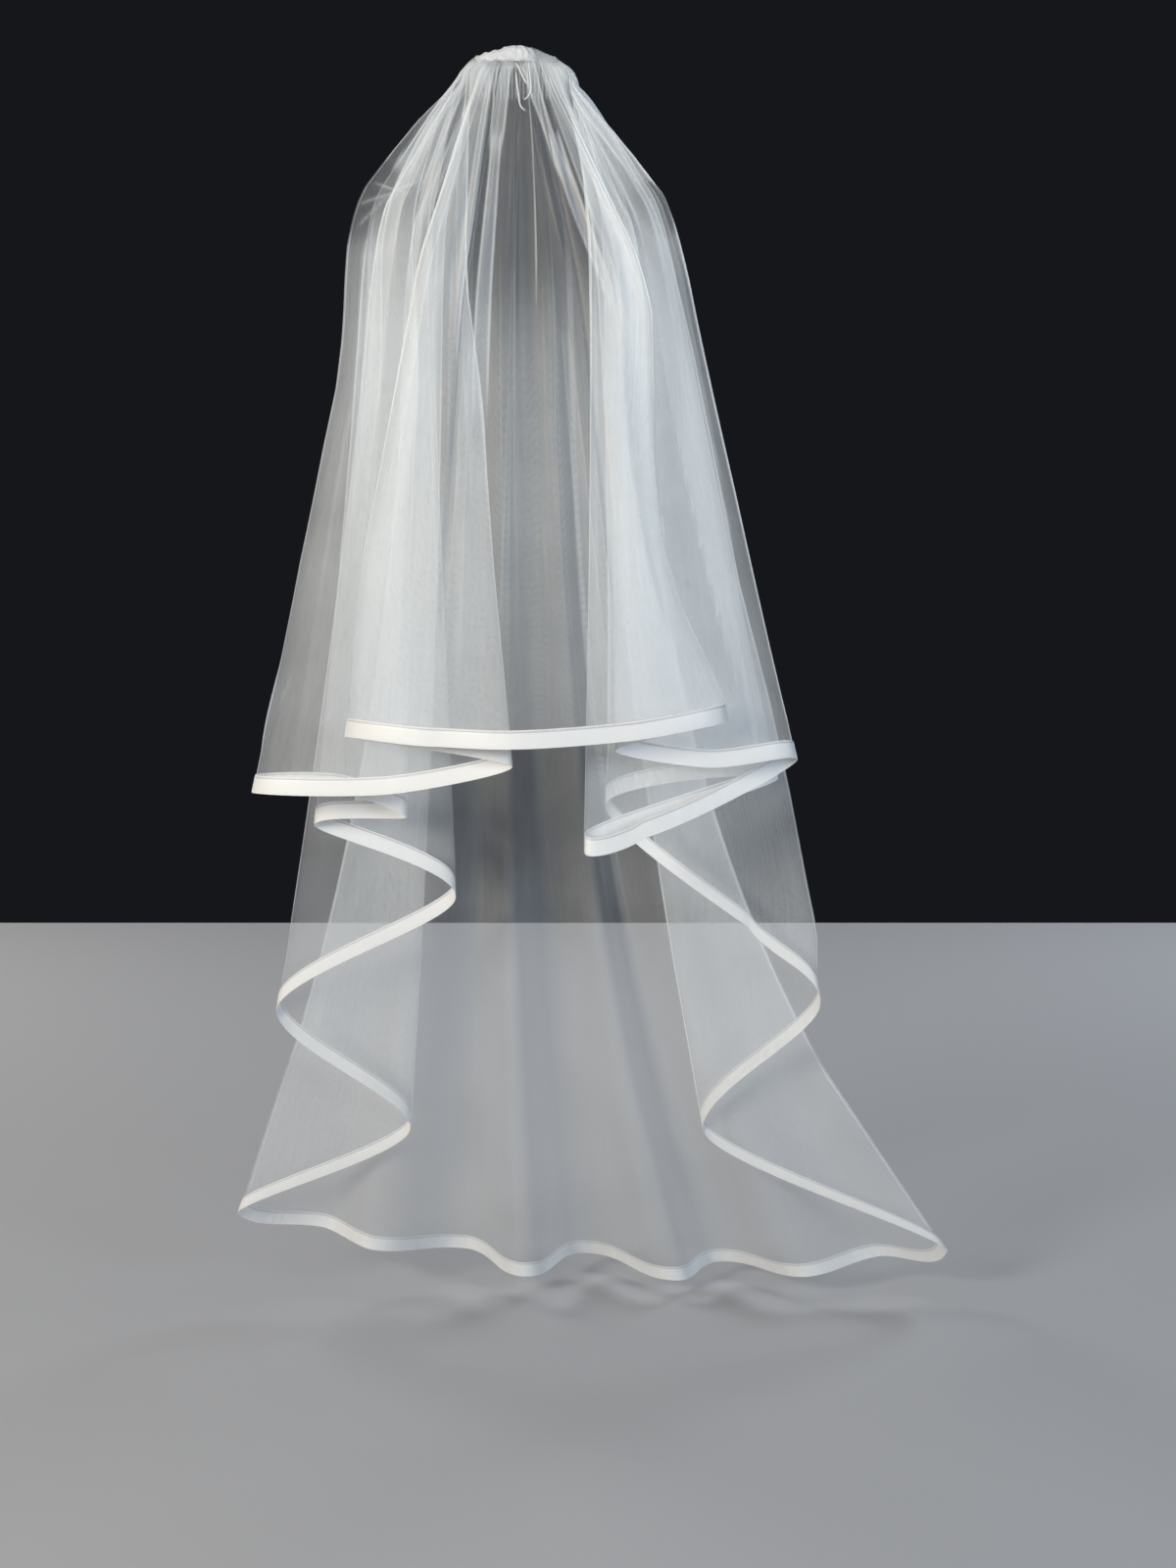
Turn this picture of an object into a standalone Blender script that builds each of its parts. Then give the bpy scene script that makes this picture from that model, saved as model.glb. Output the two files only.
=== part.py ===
"""Bridal veil: one oval of tulle gathered on a comb, its edge bound with satin ribbon.

Metres, +Z up. The origin is the middle of the comb's spine, where the wearer's hair holds the veil.
-Y is the front, so the short front fall hangs at -Y and the long back fall at +Y.

The cloth is a loft of three rings: the gathered ring at the comb, a ring at shoulder and bust
height, and the hem. Each row of FOLDS is one fold edge that runs from the comb to the hem.
"""
import math
from collections import namedtuple

import bpy
import numpy as np

# Driving dimensions
TULLE_WALL = 0.0010
RIBBON_WALL = 0.0010
RIBBON_WIDTH = 0.022
SEAM_GAP = 0.0003
GATHER_HALF_WIDTH = 0.046
GATHER_HALF_DEPTH = 0.0085
SPRING_HALF_WIDTH = 0.065
SPRING_HALF_DEPTH = 0.024
SPRING_DROP = 0.018
SPRING_SHARE = 0.12
COMB_WIDTH = 0.082
COMB_THICKNESS = 0.0025
SPINE_HEIGHT = 0.008
TOOTH_COUNT = 19
TOOTH_LENGTH = 0.036
TOOTH_SHARE = 0.5
BAND_HEIGHT = 0.017
BAND_OVERHANG = 0.002
BAND_BULGE = 0.0025
BAND_TOP_NARROWING = 0.0038
BAND_END_TAPER = 0.006
BAND_END_DROP = 0.45
BAND_RINGS = 5
RUCHE_WAVES = 22
RUCHE_DEPTH = 0.0011
GATHER_DEPTH = 0.0042
GATHER_COLUMNS = 4
GATHER_START = 0.30
GATHER_GROWTH = 0.45
GATHER_END = 1.8
GATHER_STEEPNESS = 0.35
GATHER_CLEARANCE = 0.003
SHOULDER_ROUNDING = 0.16
SHOULDER_TIGHTNESS = 0.55
PUFF_PEAK = 9.48
FRONT_SWEEP = 1.0
BACK_SWEEP = 1.8

COMB_TOP = SPINE_HEIGHT / 2
BAND_UNDERSIDE = COMB_TOP + SEAM_GAP

# comb: degrees round the gather, from the centre front by the left side (-X) to the back.
# sx, sy, sz: the fold at shoulder and bust height. hx, hy, hz: the same fold at the hem.
# heading: the way the edge runs there, in degrees from +X. radius: how tightly it turns (0 = none).
# flare: over 1 the fold hangs straight and spreads sideways low down.
# puff: how far it stands out just below the comb.
# columns: wall columns from this fold to the next.
Fold = namedtuple("Fold", "name comb sx sy sz hx hy hz heading radius flare puff columns")
CORNER_FOLDS = [
    Fold("front_centre", 0, 0.000, -0.148, -0.290, 0.000, -0.170, -0.782, 180, 0.000, 1.00, 0.000, 5),
    Fold("front_left", 20, -0.060, -0.143, -0.275, -0.097, -0.153, -0.781, 175, 0.000, 1.00, 0.000, 6),
    Fold("left_corner", 40, -0.112, -0.124, -0.240, -0.200, -0.104, -0.777, 92, 0.006, 1.10, 0.000, 7),
    Fold("left_inner", 54, -0.056, -0.098, -0.235, -0.004, -0.112, -0.811, 90, 0.007, 1.00, 0.000, 5),
    Fold("left_panel", 62, -0.118, -0.072, -0.200, -0.148, -0.082, -0.848, 168, 0.000, 1.10, 0.000, 5),
    Fold("left_point", 71, -0.192, -0.045, -0.165, -0.318, -0.030, -0.854, 88, 0.008, 1.30, 0.002, 5),
    Fold("left_back_panel", 77, -0.156, -0.028, -0.168, -0.215, -0.013, -0.857, 8, 0.000, 1.20, 0.002, 5),
    Fold("left_second", 83, -0.122, -0.012, -0.170, -0.135, 0.000, -0.890, 90, 0.008, 1.10, 0.002, 7),
    Fold("left_second_point", 95, -0.178, 0.018, -0.170, -0.250, 0.038, -0.906, 90, 0.009, 1.20, 0.003, 8),
    Fold("left_hidden", 108, -0.104, 0.050, -0.180, -0.080, 0.092, -1.005, 90, 0.010, 1.20, 0.004, 8),
    Fold("left_low_point", 122, -0.172, 0.082, -0.180, -0.312, 0.150, -1.168, 85, 0.011, 1.25, 0.006, 8),
    Fold("back_left_inner", 137, -0.092, 0.108, -0.195, -0.150, 0.262, -1.345, 75, 0.016, 1.60, 0.008, 8),
    Fold("back_left_corner", 152, -0.140, 0.134, -0.200, -0.385, 0.330, -1.490, 60, 0.018, 2.00, 0.010, 5),
    Fold("back_right_corner", 208, 0.152, 0.134, -0.200, 0.570, 0.345, -1.548, -70, 0.014, 2.40, 0.012, 9),
    Fold("back_right_inner", 224, 0.094, 0.108, -0.195, 0.235, 0.262, -1.345, -75, 0.016, 1.50, 0.012, 8),
    Fold("right_low_point", 240, 0.176, 0.078, -0.180, 0.379, 0.150, -1.158, -85, 0.009, 0.95, 0.011, 5),
    Fold("right_low_panel", 246, 0.142, 0.058, -0.178, 0.285, 0.122, -1.050, -155, 0.000, 1.00, 0.010, 5),
    Fold("right_hidden", 253, 0.106, 0.040, -0.175, 0.105, 0.078, -0.888, -90, 0.009, 1.10, 0.010, 7),
    Fold("right_second_point", 266, 0.178, 0.004, -0.170, 0.314, 0.020, -0.845, -90, 0.009, 1.10, 0.010, 8),
    Fold("right_second", 279, 0.092, -0.034, -0.215, 0.079, -0.078, -0.918, -90, 0.008, 1.00, 0.008, 5),
    Fold("right_second_panel", 285, 0.128, -0.046, -0.195, 0.152, -0.074, -0.902, 8, 0.000, 1.05, 0.008, 5),
    Fold("right_point", 292, 0.188, -0.066, -0.170, 0.333, -0.040, -0.814, -88, 0.007, 1.12, 0.008, 5),
    Fold("right_panel", 300, 0.152, -0.086, -0.200, 0.225, -0.084, -0.816, -165, 0.000, 1.05, 0.006, 4),
    Fold("right_inner", 308, 0.118, -0.104, -0.235, 0.115, -0.112, -0.792, -90, 0.007, 1.00, 0.004, 6),
    Fold("right_corner", 322, 0.148, -0.124, -0.240, 0.248, -0.104, -0.759, -92, 0.006, 1.05, 0.002, 7),
    Fold("front_right", 340, 0.074, -0.143, -0.275, 0.129, -0.153, -0.775, -175, 0.000, 1.00, 0.000, 6),
]

# The long back hangs in flutes between its two corners: crests and valleys in turn.
FLUTE_ROWS = 9
FLUTE_COLUMNS = 4
FLUTE_DEPTH = 0.055
FLUTE_DEPTH_AT_SHOULDER = 0.006
FLUTE_PLACE_WANDER = 0.18
FLUTE_PLACE_RATE = 2.4
FLUTE_DEPTH_WANDER = 0.25
FLUTE_DEPTH_RATE = 1.7
BACK_REACH = 0.085
BACK_DROP = 0.075
BACK_ROUND = 0.020


def back_flutes(left, right):
    """A row for each crest and valley, a share of the way from the left back corner to the right."""
    rows = []
    for k in range(1, FLUTE_ROWS + 1):
        share = (k + FLUTE_PLACE_WANDER * math.sin(FLUTE_PLACE_RATE * k)) / (FLUTE_ROWS + 1)
        arch = 4 * share * (1 - share)
        crest = arch if k % 2 else -arch
        uneven = 1 + FLUTE_DEPTH_WANDER * math.sin(FLUTE_DEPTH_RATE * k)
        between = {
            column: getattr(left, column) + (getattr(right, column) - getattr(left, column)) * share
            for column in ("comb", "sx", "sy", "sz", "hx", "hy", "hz", "flare", "puff")
        }
        between["sy"] += BACK_ROUND * arch + FLUTE_DEPTH_AT_SHOULDER * crest
        between["hy"] += BACK_REACH * arch + FLUTE_DEPTH * uneven * crest
        between["hz"] -= BACK_DROP * arch
        name = f"back_flute_{k}"
        rows.append(Fold(name, heading=0, radius=0.0, columns=FLUTE_COLUMNS, **between))
    return rows


def all_folds():
    """The folds of the table, with the flutes between the two back corners."""
    names = [fold.name for fold in CORNER_FOLDS]
    left, right = names.index("back_left_corner"), names.index("back_right_corner")
    flutes = back_flutes(CORNER_FOLDS[left], CORNER_FOLDS[right])
    return CORNER_FOLDS[:right] + flutes + CORNER_FOLDS[right:]


FOLDS = all_folds()

# Share of the way from comb to shoulder (up to 1) and on from shoulder to hem (1 to 2).
COMB_LEVEL, SHOULDER_LEVEL, HEM_LEVEL = 0.0, 1.0, 2.0
LEVELS = (COMB_LEVEL, SPRING_SHARE, 0.22, 0.40, 0.62, 0.84, SHOULDER_LEVEL, 1.16, 1.38, 1.60, 1.80)

# Each stretch runs from the middle of one fold's panel to the middle of another's, and is parted at
# shoulder height. crown and fall name the two walls, ribbon the one along the fall's edge.
Stretch = namedtuple("Stretch", "first last crown fall ribbon")
STRETCHES = [
    Stretch("right_corner", "left_corner", "front_crown", "front_fall", "front_ribbon"),
    Stretch("left_corner", "left_low_point", "left_crown", "left_cascade", "left_ribbon"),
    Stretch("left_low_point", "back_right_inner", "back_crown", "back_fall", "back_ribbon"),
    Stretch("back_right_inner", "right_corner", "right_crown", "right_cascade", "right_ribbon"),
]

# name, base colour, roughness, metallic
Finish = namedtuple("Finish", "name colour roughness metallic")
TULLE_FINISH = Finish("tulle", (0.93, 0.93, 0.92, 1.0), 0.85, 0.0)
RIBBON_FINISH = Finish("satin_ribbon", (0.95, 0.94, 0.91, 1.0), 0.35, 0.0)
BAND_FINISH = Finish("ruched_tulle", (0.95, 0.95, 0.93, 1.0), 0.80, 0.0)
COMB_FINISH = Finish("clear_comb", (0.86, 0.88, 0.90, 1.0), 0.15, 0.0)


def clear_scene():
    for obj in list(bpy.data.objects):
        bpy.data.objects.remove(obj, do_unlink=True)


def material(finish):
    made = bpy.data.materials.new(finish.name)
    made.use_nodes = True
    shader = made.node_tree.nodes["Principled BSDF"]
    shader.inputs["Base Color"].default_value = finish.colour
    shader.inputs["Roughness"].default_value = finish.roughness
    shader.inputs["Metallic"].default_value = finish.metallic
    made.diffuse_color = shader.inputs["Base Color"].default_value
    return made


def unit(vectors):
    return vectors / np.maximum(np.linalg.norm(vectors, axis=-1, keepdims=True), 1e-9)


def hermite(start, end, leave, arrive, v):
    """Cubic from start to end, with the given tangents, at the shares v."""
    v = v[:, None]
    return (
        (2 * v**3 - 3 * v**2 + 1) * start
        + (v**3 - 2 * v**2 + v) * leave
        + (3 * v**2 - 2 * v**3) * end
        + (v**3 - v**2) * arrive
    )


def fold_points(level):
    """The folds' points on one ring: 's' for the shoulder, 'h' for the hem."""
    return np.array([[getattr(fold, level + axis) for axis in "xyz"] for fold in FOLDS])


def shares(fold):
    """Column places between two folds, closer together where the edge turns."""
    k = np.arange(fold.columns) / fold.columns
    return (1 - np.cos(math.pi * k)) / 2


def ring_through(points, radius_scale):
    """A closed ring through the folds: it turns round each with its radius and runs on between them."""
    count = len(FOLDS)
    headings = np.radians([fold.heading for fold in FOLDS])
    along = np.stack([np.cos(headings), np.sin(headings)], axis=1)
    spans = np.linalg.norm(np.roll(points, -1, axis=0)[:, :2] - points[:, :2], axis=1)
    ring = []
    for i, fold in enumerate(FOLDS):
        j = (i + 1) % count
        tangents = []
        for k in (i, j):
            radius = FOLDS[k].radius * radius_scale
            reach = math.sqrt(6 * spans[i] * radius) if radius else spans[i]
            rise = (points[(k + 1) % count, 2] - points[k - 1, 2]) / 2
            tangents.append(np.append(along[k] * min(reach, spans[i]), rise))
        ring.append(hermite(points[i], points[j], tangents[0], tangents[1], shares(fold)))
    return np.concatenate(ring)


def spread(values):
    """A value for each fold, made one for each column by smooth steps."""
    made = []
    for i, fold in enumerate(FOLDS):
        nearer, farther = values[i], values[(i + 1) % len(FOLDS)]
        v = shares(fold)
        made.append(nearer + (farther - nearer) * v * v * (3 - 2 * v))
    return np.concatenate(made)


def comb_angle():
    """How far round the gather each column starts, in radians from the centre front."""
    turns = [fold.comb for fold in FOLDS] + [360.0]
    made = []
    for fold, nearer, farther in zip(FOLDS, turns, turns[1:]):
        made.append(nearer + (farther - nearer) * np.arange(fold.columns) / fold.columns)
    return np.radians(np.concatenate(made))


ANGLE = comb_angle()
OUTWARD = np.stack([-np.sin(ANGLE), -np.cos(ANGLE), np.zeros(len(ANGLE))], axis=1)


def oval(half_width, half_depth, height):
    """A level oval round the comb's spine, with a point for each column."""
    return OUTWARD * (half_width, half_depth, 0.0) + (0.0, 0.0, height)


COMB_RING = oval(GATHER_HALF_WIDTH, GATHER_HALF_DEPTH, COMB_TOP)
SPRING_RING = oval(SPRING_HALF_WIDTH, SPRING_HALF_DEPTH, COMB_TOP - SPRING_DROP)
SHOULDER_RING = ring_through(fold_points("s"), SHOULDER_TIGHTNESS)
HEM_RING = ring_through(fold_points("h"), 1.0)
FLARE = spread([fold.flare for fold in FOLDS])
PUFF = spread([fold.puff for fold in FOLDS])
SWEEP = FRONT_SWEEP + (BACK_SWEEP - FRONT_SWEEP) * (1 - np.cos(ANGLE)) / 2


def crown_point(share):
    """Comb to shoulder: out to the spring ring, then straight but for the puff that stands out."""
    if share <= SPRING_SHARE:
        return COMB_RING + (SPRING_RING - COMB_RING) * (share / SPRING_SHARE)
    v = (share - SPRING_SHARE) / (1 - SPRING_SHARE)
    bump = PUFF_PEAK * v * (1 - v) ** 3
    lift = (OUTWARD + (0.0, 0.0, 1.0)) * math.sqrt(0.5)
    return SPRING_RING + (SHOULDER_RING - SPRING_RING) * v + lift * (PUFF * bump)[:, None]


def fall_point(share):
    """Shoulder to hem: the drop is even, the spread grows with the flare, and the back sweeps out low."""
    grown = np.stack([share**FLARE, share**SWEEP, np.full(len(FLARE), share)], axis=1)
    return SHOULDER_RING + (HEM_RING - SHOULDER_RING) * grown


def level_point(level):
    """All columns at one level, with the bend over shoulder and bust rounded."""
    start, end = 1 - SHOULDER_ROUNDING, 1 + SHOULDER_ROUNDING
    if level <= start:
        return crown_point(level)
    if level >= end:
        return fall_point(level - 1)
    v = (level - start) / (end - start)
    first, last = crown_point(start), fall_point(end - 1)
    return (1 - v) ** 2 * first + 2 * v * (1 - v) * SHOULDER_RING + v * v * last


def gather_depth(level):
    """The gathers grow from the comb to mid crown and die out well above the ribbon."""
    grown = min(max(level - GATHER_START, 0.0) / GATHER_GROWTH, 1.0)
    return GATHER_DEPTH * grown * max(1 - level / GATHER_END, 0.0)


def cloth_grid():
    """The middle surface of the cloth: an array of levels by columns by 3."""
    rows = [level_point(level) for level in LEVELS]
    hem = fall_point(1.0)
    up = unit(rows[-1] - hem)
    rows += [hem + up * RIBBON_WIDTH, hem]
    grid = np.array(rows)
    return grid + gathers(grid)


def side_normals(grid):
    """Unit normals of the cloth's outer side at every point of the closed grid."""
    ahead = unit(np.roll(grid, -1, axis=1) - grid)
    behind = unit(grid - np.roll(grid, 1, axis=1))
    down = np.gradient(grid, axis=0)
    normals = unit(np.cross(ahead + behind, down))
    normals[:2, :, 2] = 0.0  # the gathered edge ends level, under the band
    return unit(normals)


def gathers(grid):
    """Small gathers: every fourth column stands out and the one halfway stands in."""
    column = np.arange(grid.shape[1])
    wave = np.sin(column * math.tau / GATHER_COLUMNS)
    ahead = np.linalg.norm(np.roll(grid, -1, axis=1) - grid, axis=2)
    behind = np.roll(ahead, 1, axis=1)
    chord = np.linalg.norm(np.roll(grid, -1, axis=1) - np.roll(grid, 1, axis=1), axis=2)
    flatness = chord / (ahead + behind)
    spare = np.maximum(np.minimum(ahead, behind) - GATHER_CLEARANCE, 0.0)
    most = GATHER_STEEPNESS * spare * flatness**6
    depth = np.array([gather_depth(level) for level in LEVELS] + [0.0, 0.0])
    offset = np.minimum(depth[:, None], most) * wave[None, :]
    return side_normals(grid) * offset[:, :, None]


def columns_of(stretch):
    """The columns of one stretch, from the middle of its first fold's panel to its last's."""
    starts = np.concatenate([[0], np.cumsum([fold.columns for fold in FOLDS])])
    names = [fold.name for fold in FOLDS]
    first, last = names.index(stretch.first), names.index(stretch.last)
    begin = starts[first] + FOLDS[first].columns // 2
    end = starts[last] + FOLDS[last].columns // 2
    if end <= begin:
        end += starts[-1]
    return np.arange(begin, end + 1) % starts[-1]


def parted(strip, normals):
    """A stretch with both of its ends drawn back along the cloth by half the seam gap."""
    along = unit(np.cross(np.gradient(strip, axis=0), normals))
    strip = strip.copy()
    strip[:, 0] += along[:, 0] * SEAM_GAP / 2
    strip[:, -1] -= along[:, -1] * SEAM_GAP / 2
    return strip


def crown_and_fall(strip):
    """The rows above and below shoulder height, with the seam gap between them."""
    cut = LEVELS.index(SHOULDER_LEVEL)
    back_off = unit(strip[cut + 1] - strip[cut - 1]) * SEAM_GAP / 2
    crown, fall = strip[: cut + 1].copy(), strip[cut:].copy()
    crown[-1] -= back_off
    fall[0] += back_off
    return crown, fall, cut


def wall(name, strip, normals, inner, outer, finish, collection):
    """A cloth wall: the strip's points moved out to inner and outer, with closed rims."""
    levels, columns = strip.shape[:2]
    points = np.concatenate([(strip + normals * outer), (strip + normals * inner)])
    back = levels * columns
    faces = []
    for i in range(levels - 1):
        for j in range(columns - 1):
            a, b = i * columns + j, (i + 1) * columns + j
            faces.append((a, a + 1, b + 1, b))
            faces.append((back + a, back + b, back + b + 1, back + a + 1))
    top = list(range(columns))
    right = [i * columns + columns - 1 for i in range(1, levels)]
    bottom = [(levels - 1) * columns + j for j in range(columns - 2, -1, -1)]
    left = [i * columns for i in range(levels - 2, 0, -1)]
    rim = top + right + bottom + left
    for here, after in zip(rim, rim[1:] + rim[:1]):
        quad = (after, here, back + here, back + after)
        faces.append(quad if here < after else quad[1:] + quad[:1])
    mesh = bpy.data.meshes.new(name)
    mesh.from_pydata(points.reshape(-1, 3).tolist(), [], faces)
    mesh.shade_smooth()
    mesh.set_sharp_from_angle(angle=math.radians(60))
    obj = bpy.data.objects.new(name, mesh)
    obj.data.materials.append(material(finish))
    collection.objects.link(obj)


def tulle_and_ribbon(collection):
    grid = cloth_grid()
    normals = side_normals(grid)
    half = TULLE_WALL / 2
    lying = half + SEAM_GAP
    for stretch in STRETCHES:
        columns = columns_of(stretch)
        out = normals[:, columns]
        strip = parted(grid[:, columns], out)
        crown, fall, cut = crown_and_fall(strip)
        wall(stretch.crown, crown, out[: cut + 1], -half, half, TULLE_FINISH, collection)
        wall(stretch.fall, fall, out[cut:], -half, half, TULLE_FINISH, collection)
        wall(stretch.ribbon, strip[-2:], out[-2:], lying, lying + RIBBON_WALL, RIBBON_FINISH, collection)


def gather_band(collection):
    """The stitched-down head of the gathers: a small ruched roll that closes the ring above the comb."""
    steps = RUCHE_WAVES * 4
    angle = np.arange(steps) * math.tau / steps
    wave = np.sin(angle * RUCHE_WAVES)
    rings = []
    for k in range(BAND_RINGS):
        share = k / (BAND_RINGS - 1)
        swell = BAND_BULGE * math.sin(math.pi * share) - BAND_TOP_NARROWING * share**3
        half_width = GATHER_HALF_WIDTH + BAND_OVERHANG + swell - BAND_END_TAPER * share**2
        half_depth = GATHER_HALF_DEPTH + BAND_OVERHANG + swell
        ruche = RUCHE_DEPTH * wave * math.sin(math.pi * min(share + 0.25, 1.0))
        x = -(half_width + ruche) * np.sin(angle)
        y = -(half_depth + ruche) * np.cos(angle)
        height = BAND_HEIGHT * (1 - BAND_END_DROP * (x / GATHER_HALF_WIDTH) ** 2 * share)
        z = BAND_UNDERSIDE + (height + ruche) * share
        rings.append(np.stack([x, y, z], axis=1))
    points = np.concatenate(rings)
    faces = []
    for k in range(BAND_RINGS - 1):
        low, high = k * steps, (k + 1) * steps
        for j in range(steps):
            after = (j + 1) % steps
            faces.append((low + j, low + after, high + after, high + j))
    faces.append(tuple(range(steps))[::-1])
    faces.append(tuple(range(len(points) - steps, len(points))))
    mesh = bpy.data.meshes.new("gather_band")
    mesh.from_pydata(points.tolist(), [], faces)
    mesh.flip_normals()
    mesh.shade_smooth()
    obj = bpy.data.objects.new("gather_band", mesh)
    obj.data.materials.append(material(BAND_FINISH))
    collection.objects.link(obj)


def comb(collection):
    """A plain hair comb: a flat outline of spine and teeth, drawn in X and Z."""
    pitch = COMB_WIDTH / (TOOTH_COUNT - 1 + TOOTH_SHARE)
    tooth = pitch * TOOTH_SHARE
    left = -COMB_WIDTH / 2
    low, tip = -SPINE_HEIGHT / 2, -SPINE_HEIGHT / 2 - TOOTH_LENGTH
    outline = [(left + COMB_WIDTH, COMB_TOP), (left, COMB_TOP)]
    for k in range(TOOTH_COUNT):
        x = left + k * pitch
        if k:
            outline.append((x, low))
        outline += [(x + 0.15 * tooth, tip), (x + 0.85 * tooth, tip)]
        if k < TOOTH_COUNT - 1:
            outline.append((x + tooth, low))
    curve = bpy.data.curves.new("comb", "CURVE")
    curve.dimensions = "2D"
    curve.fill_mode = "BOTH"
    curve.extrude = COMB_THICKNESS / 2
    spline = curve.splines.new("POLY")
    spline.points.add(len(outline) - 1)
    for point, (x, z) in zip(spline.points, outline):
        point.co = (x, z, 0.0, 1.0)
    spline.use_cyclic_u = True
    obj = bpy.data.objects.new("comb", curve)
    obj.rotation_euler = (math.pi / 2, 0.0, 0.0)
    obj.data.materials.append(material(COMB_FINISH))
    collection.objects.link(obj)


def main():
    clear_scene()
    collection = bpy.data.collections.new("bridal_veil")
    bpy.context.scene.collection.children.link(collection)
    comb(collection)
    gather_band(collection)
    tulle_and_ribbon(collection)


main()
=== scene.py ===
# %% [markdown]
# # A bridal veil, sewn in Blender
# The veil is one oval of sheer tulle. A thread draws it up across its width, the gathers are
# stitched down on a hair comb, and a satin ribbon binds the whole edge. Worn, it hangs as a hollow
# bell: short in front, long behind, its sides falling in zigzag folds. The frame gives every
# piece's place and size. Lengths are in metres, +Z is up, the comb's spine is the origin and -Y is
# the front.

# %% Load the frame
import math
from collections import namedtuple

import bpy
import numpy as np
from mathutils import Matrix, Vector


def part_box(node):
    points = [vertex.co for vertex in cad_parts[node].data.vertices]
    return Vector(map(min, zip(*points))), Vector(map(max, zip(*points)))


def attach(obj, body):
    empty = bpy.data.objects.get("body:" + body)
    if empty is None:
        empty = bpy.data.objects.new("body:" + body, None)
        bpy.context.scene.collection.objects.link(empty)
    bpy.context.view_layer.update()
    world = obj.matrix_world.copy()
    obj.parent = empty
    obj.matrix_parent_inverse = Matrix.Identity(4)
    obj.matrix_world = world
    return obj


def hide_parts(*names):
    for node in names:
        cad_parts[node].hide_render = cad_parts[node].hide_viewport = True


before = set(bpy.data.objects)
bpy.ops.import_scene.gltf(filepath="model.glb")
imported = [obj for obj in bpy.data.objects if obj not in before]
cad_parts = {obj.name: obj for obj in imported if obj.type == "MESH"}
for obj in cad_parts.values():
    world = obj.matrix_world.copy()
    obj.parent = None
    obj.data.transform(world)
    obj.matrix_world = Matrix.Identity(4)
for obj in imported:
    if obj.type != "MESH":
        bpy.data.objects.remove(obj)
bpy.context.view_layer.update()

# %% [markdown]
# ## Camera
# A long lens, level with the upper skirt and tipped down a little, keeps the verticals nearly
# straight. It comes first, so that every later step can be judged in the final view.

# %% Camera
LONG_SIDE_PIXELS, FOCAL_PIXELS = 1600, 3077
SENSOR = 36.0
CAMERA_PLACE = (0.084, -3.6, -0.285)
CAMERA_TILT = math.radians(8.9)


def add_object(name, data):
    """A new object at the scene's origin."""
    made = bpy.data.objects.new(name, data)
    bpy.context.scene.collection.objects.link(made)
    return made


camera = add_object("camera", bpy.data.cameras.new("camera"))
camera.data.sensor_width = SENSOR
camera.data.lens = SENSOR * FOCAL_PIXELS / LONG_SIDE_PIXELS
camera.location = CAMERA_PLACE
camera.rotation_euler = (math.radians(90) - CAMERA_TILT, 0.0, 0.0)
bpy.context.scene.camera = camera
print("lens", round(camera.data.lens, 2), "mm")

# %% [markdown]
# ## The folds
# Each row is one fold edge that runs from the comb, over shoulder and bust height, to the hem. The
# same rows shape the solid walls of the frame, so the fine cloth made here lies on them.
# comb is the place round the gathers in degrees, from the centre front by the left side to the back.
# s is the fold's point at shoulder height and h its point at the hem. heading is the way the edge
# runs there and radius how tightly it turns. flare sends the spread low down and puff swells the
# cloth just below the comb. columns is how finely the panel to the next fold is divided. Points,
# radius and puff stand in millimetres.

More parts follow.
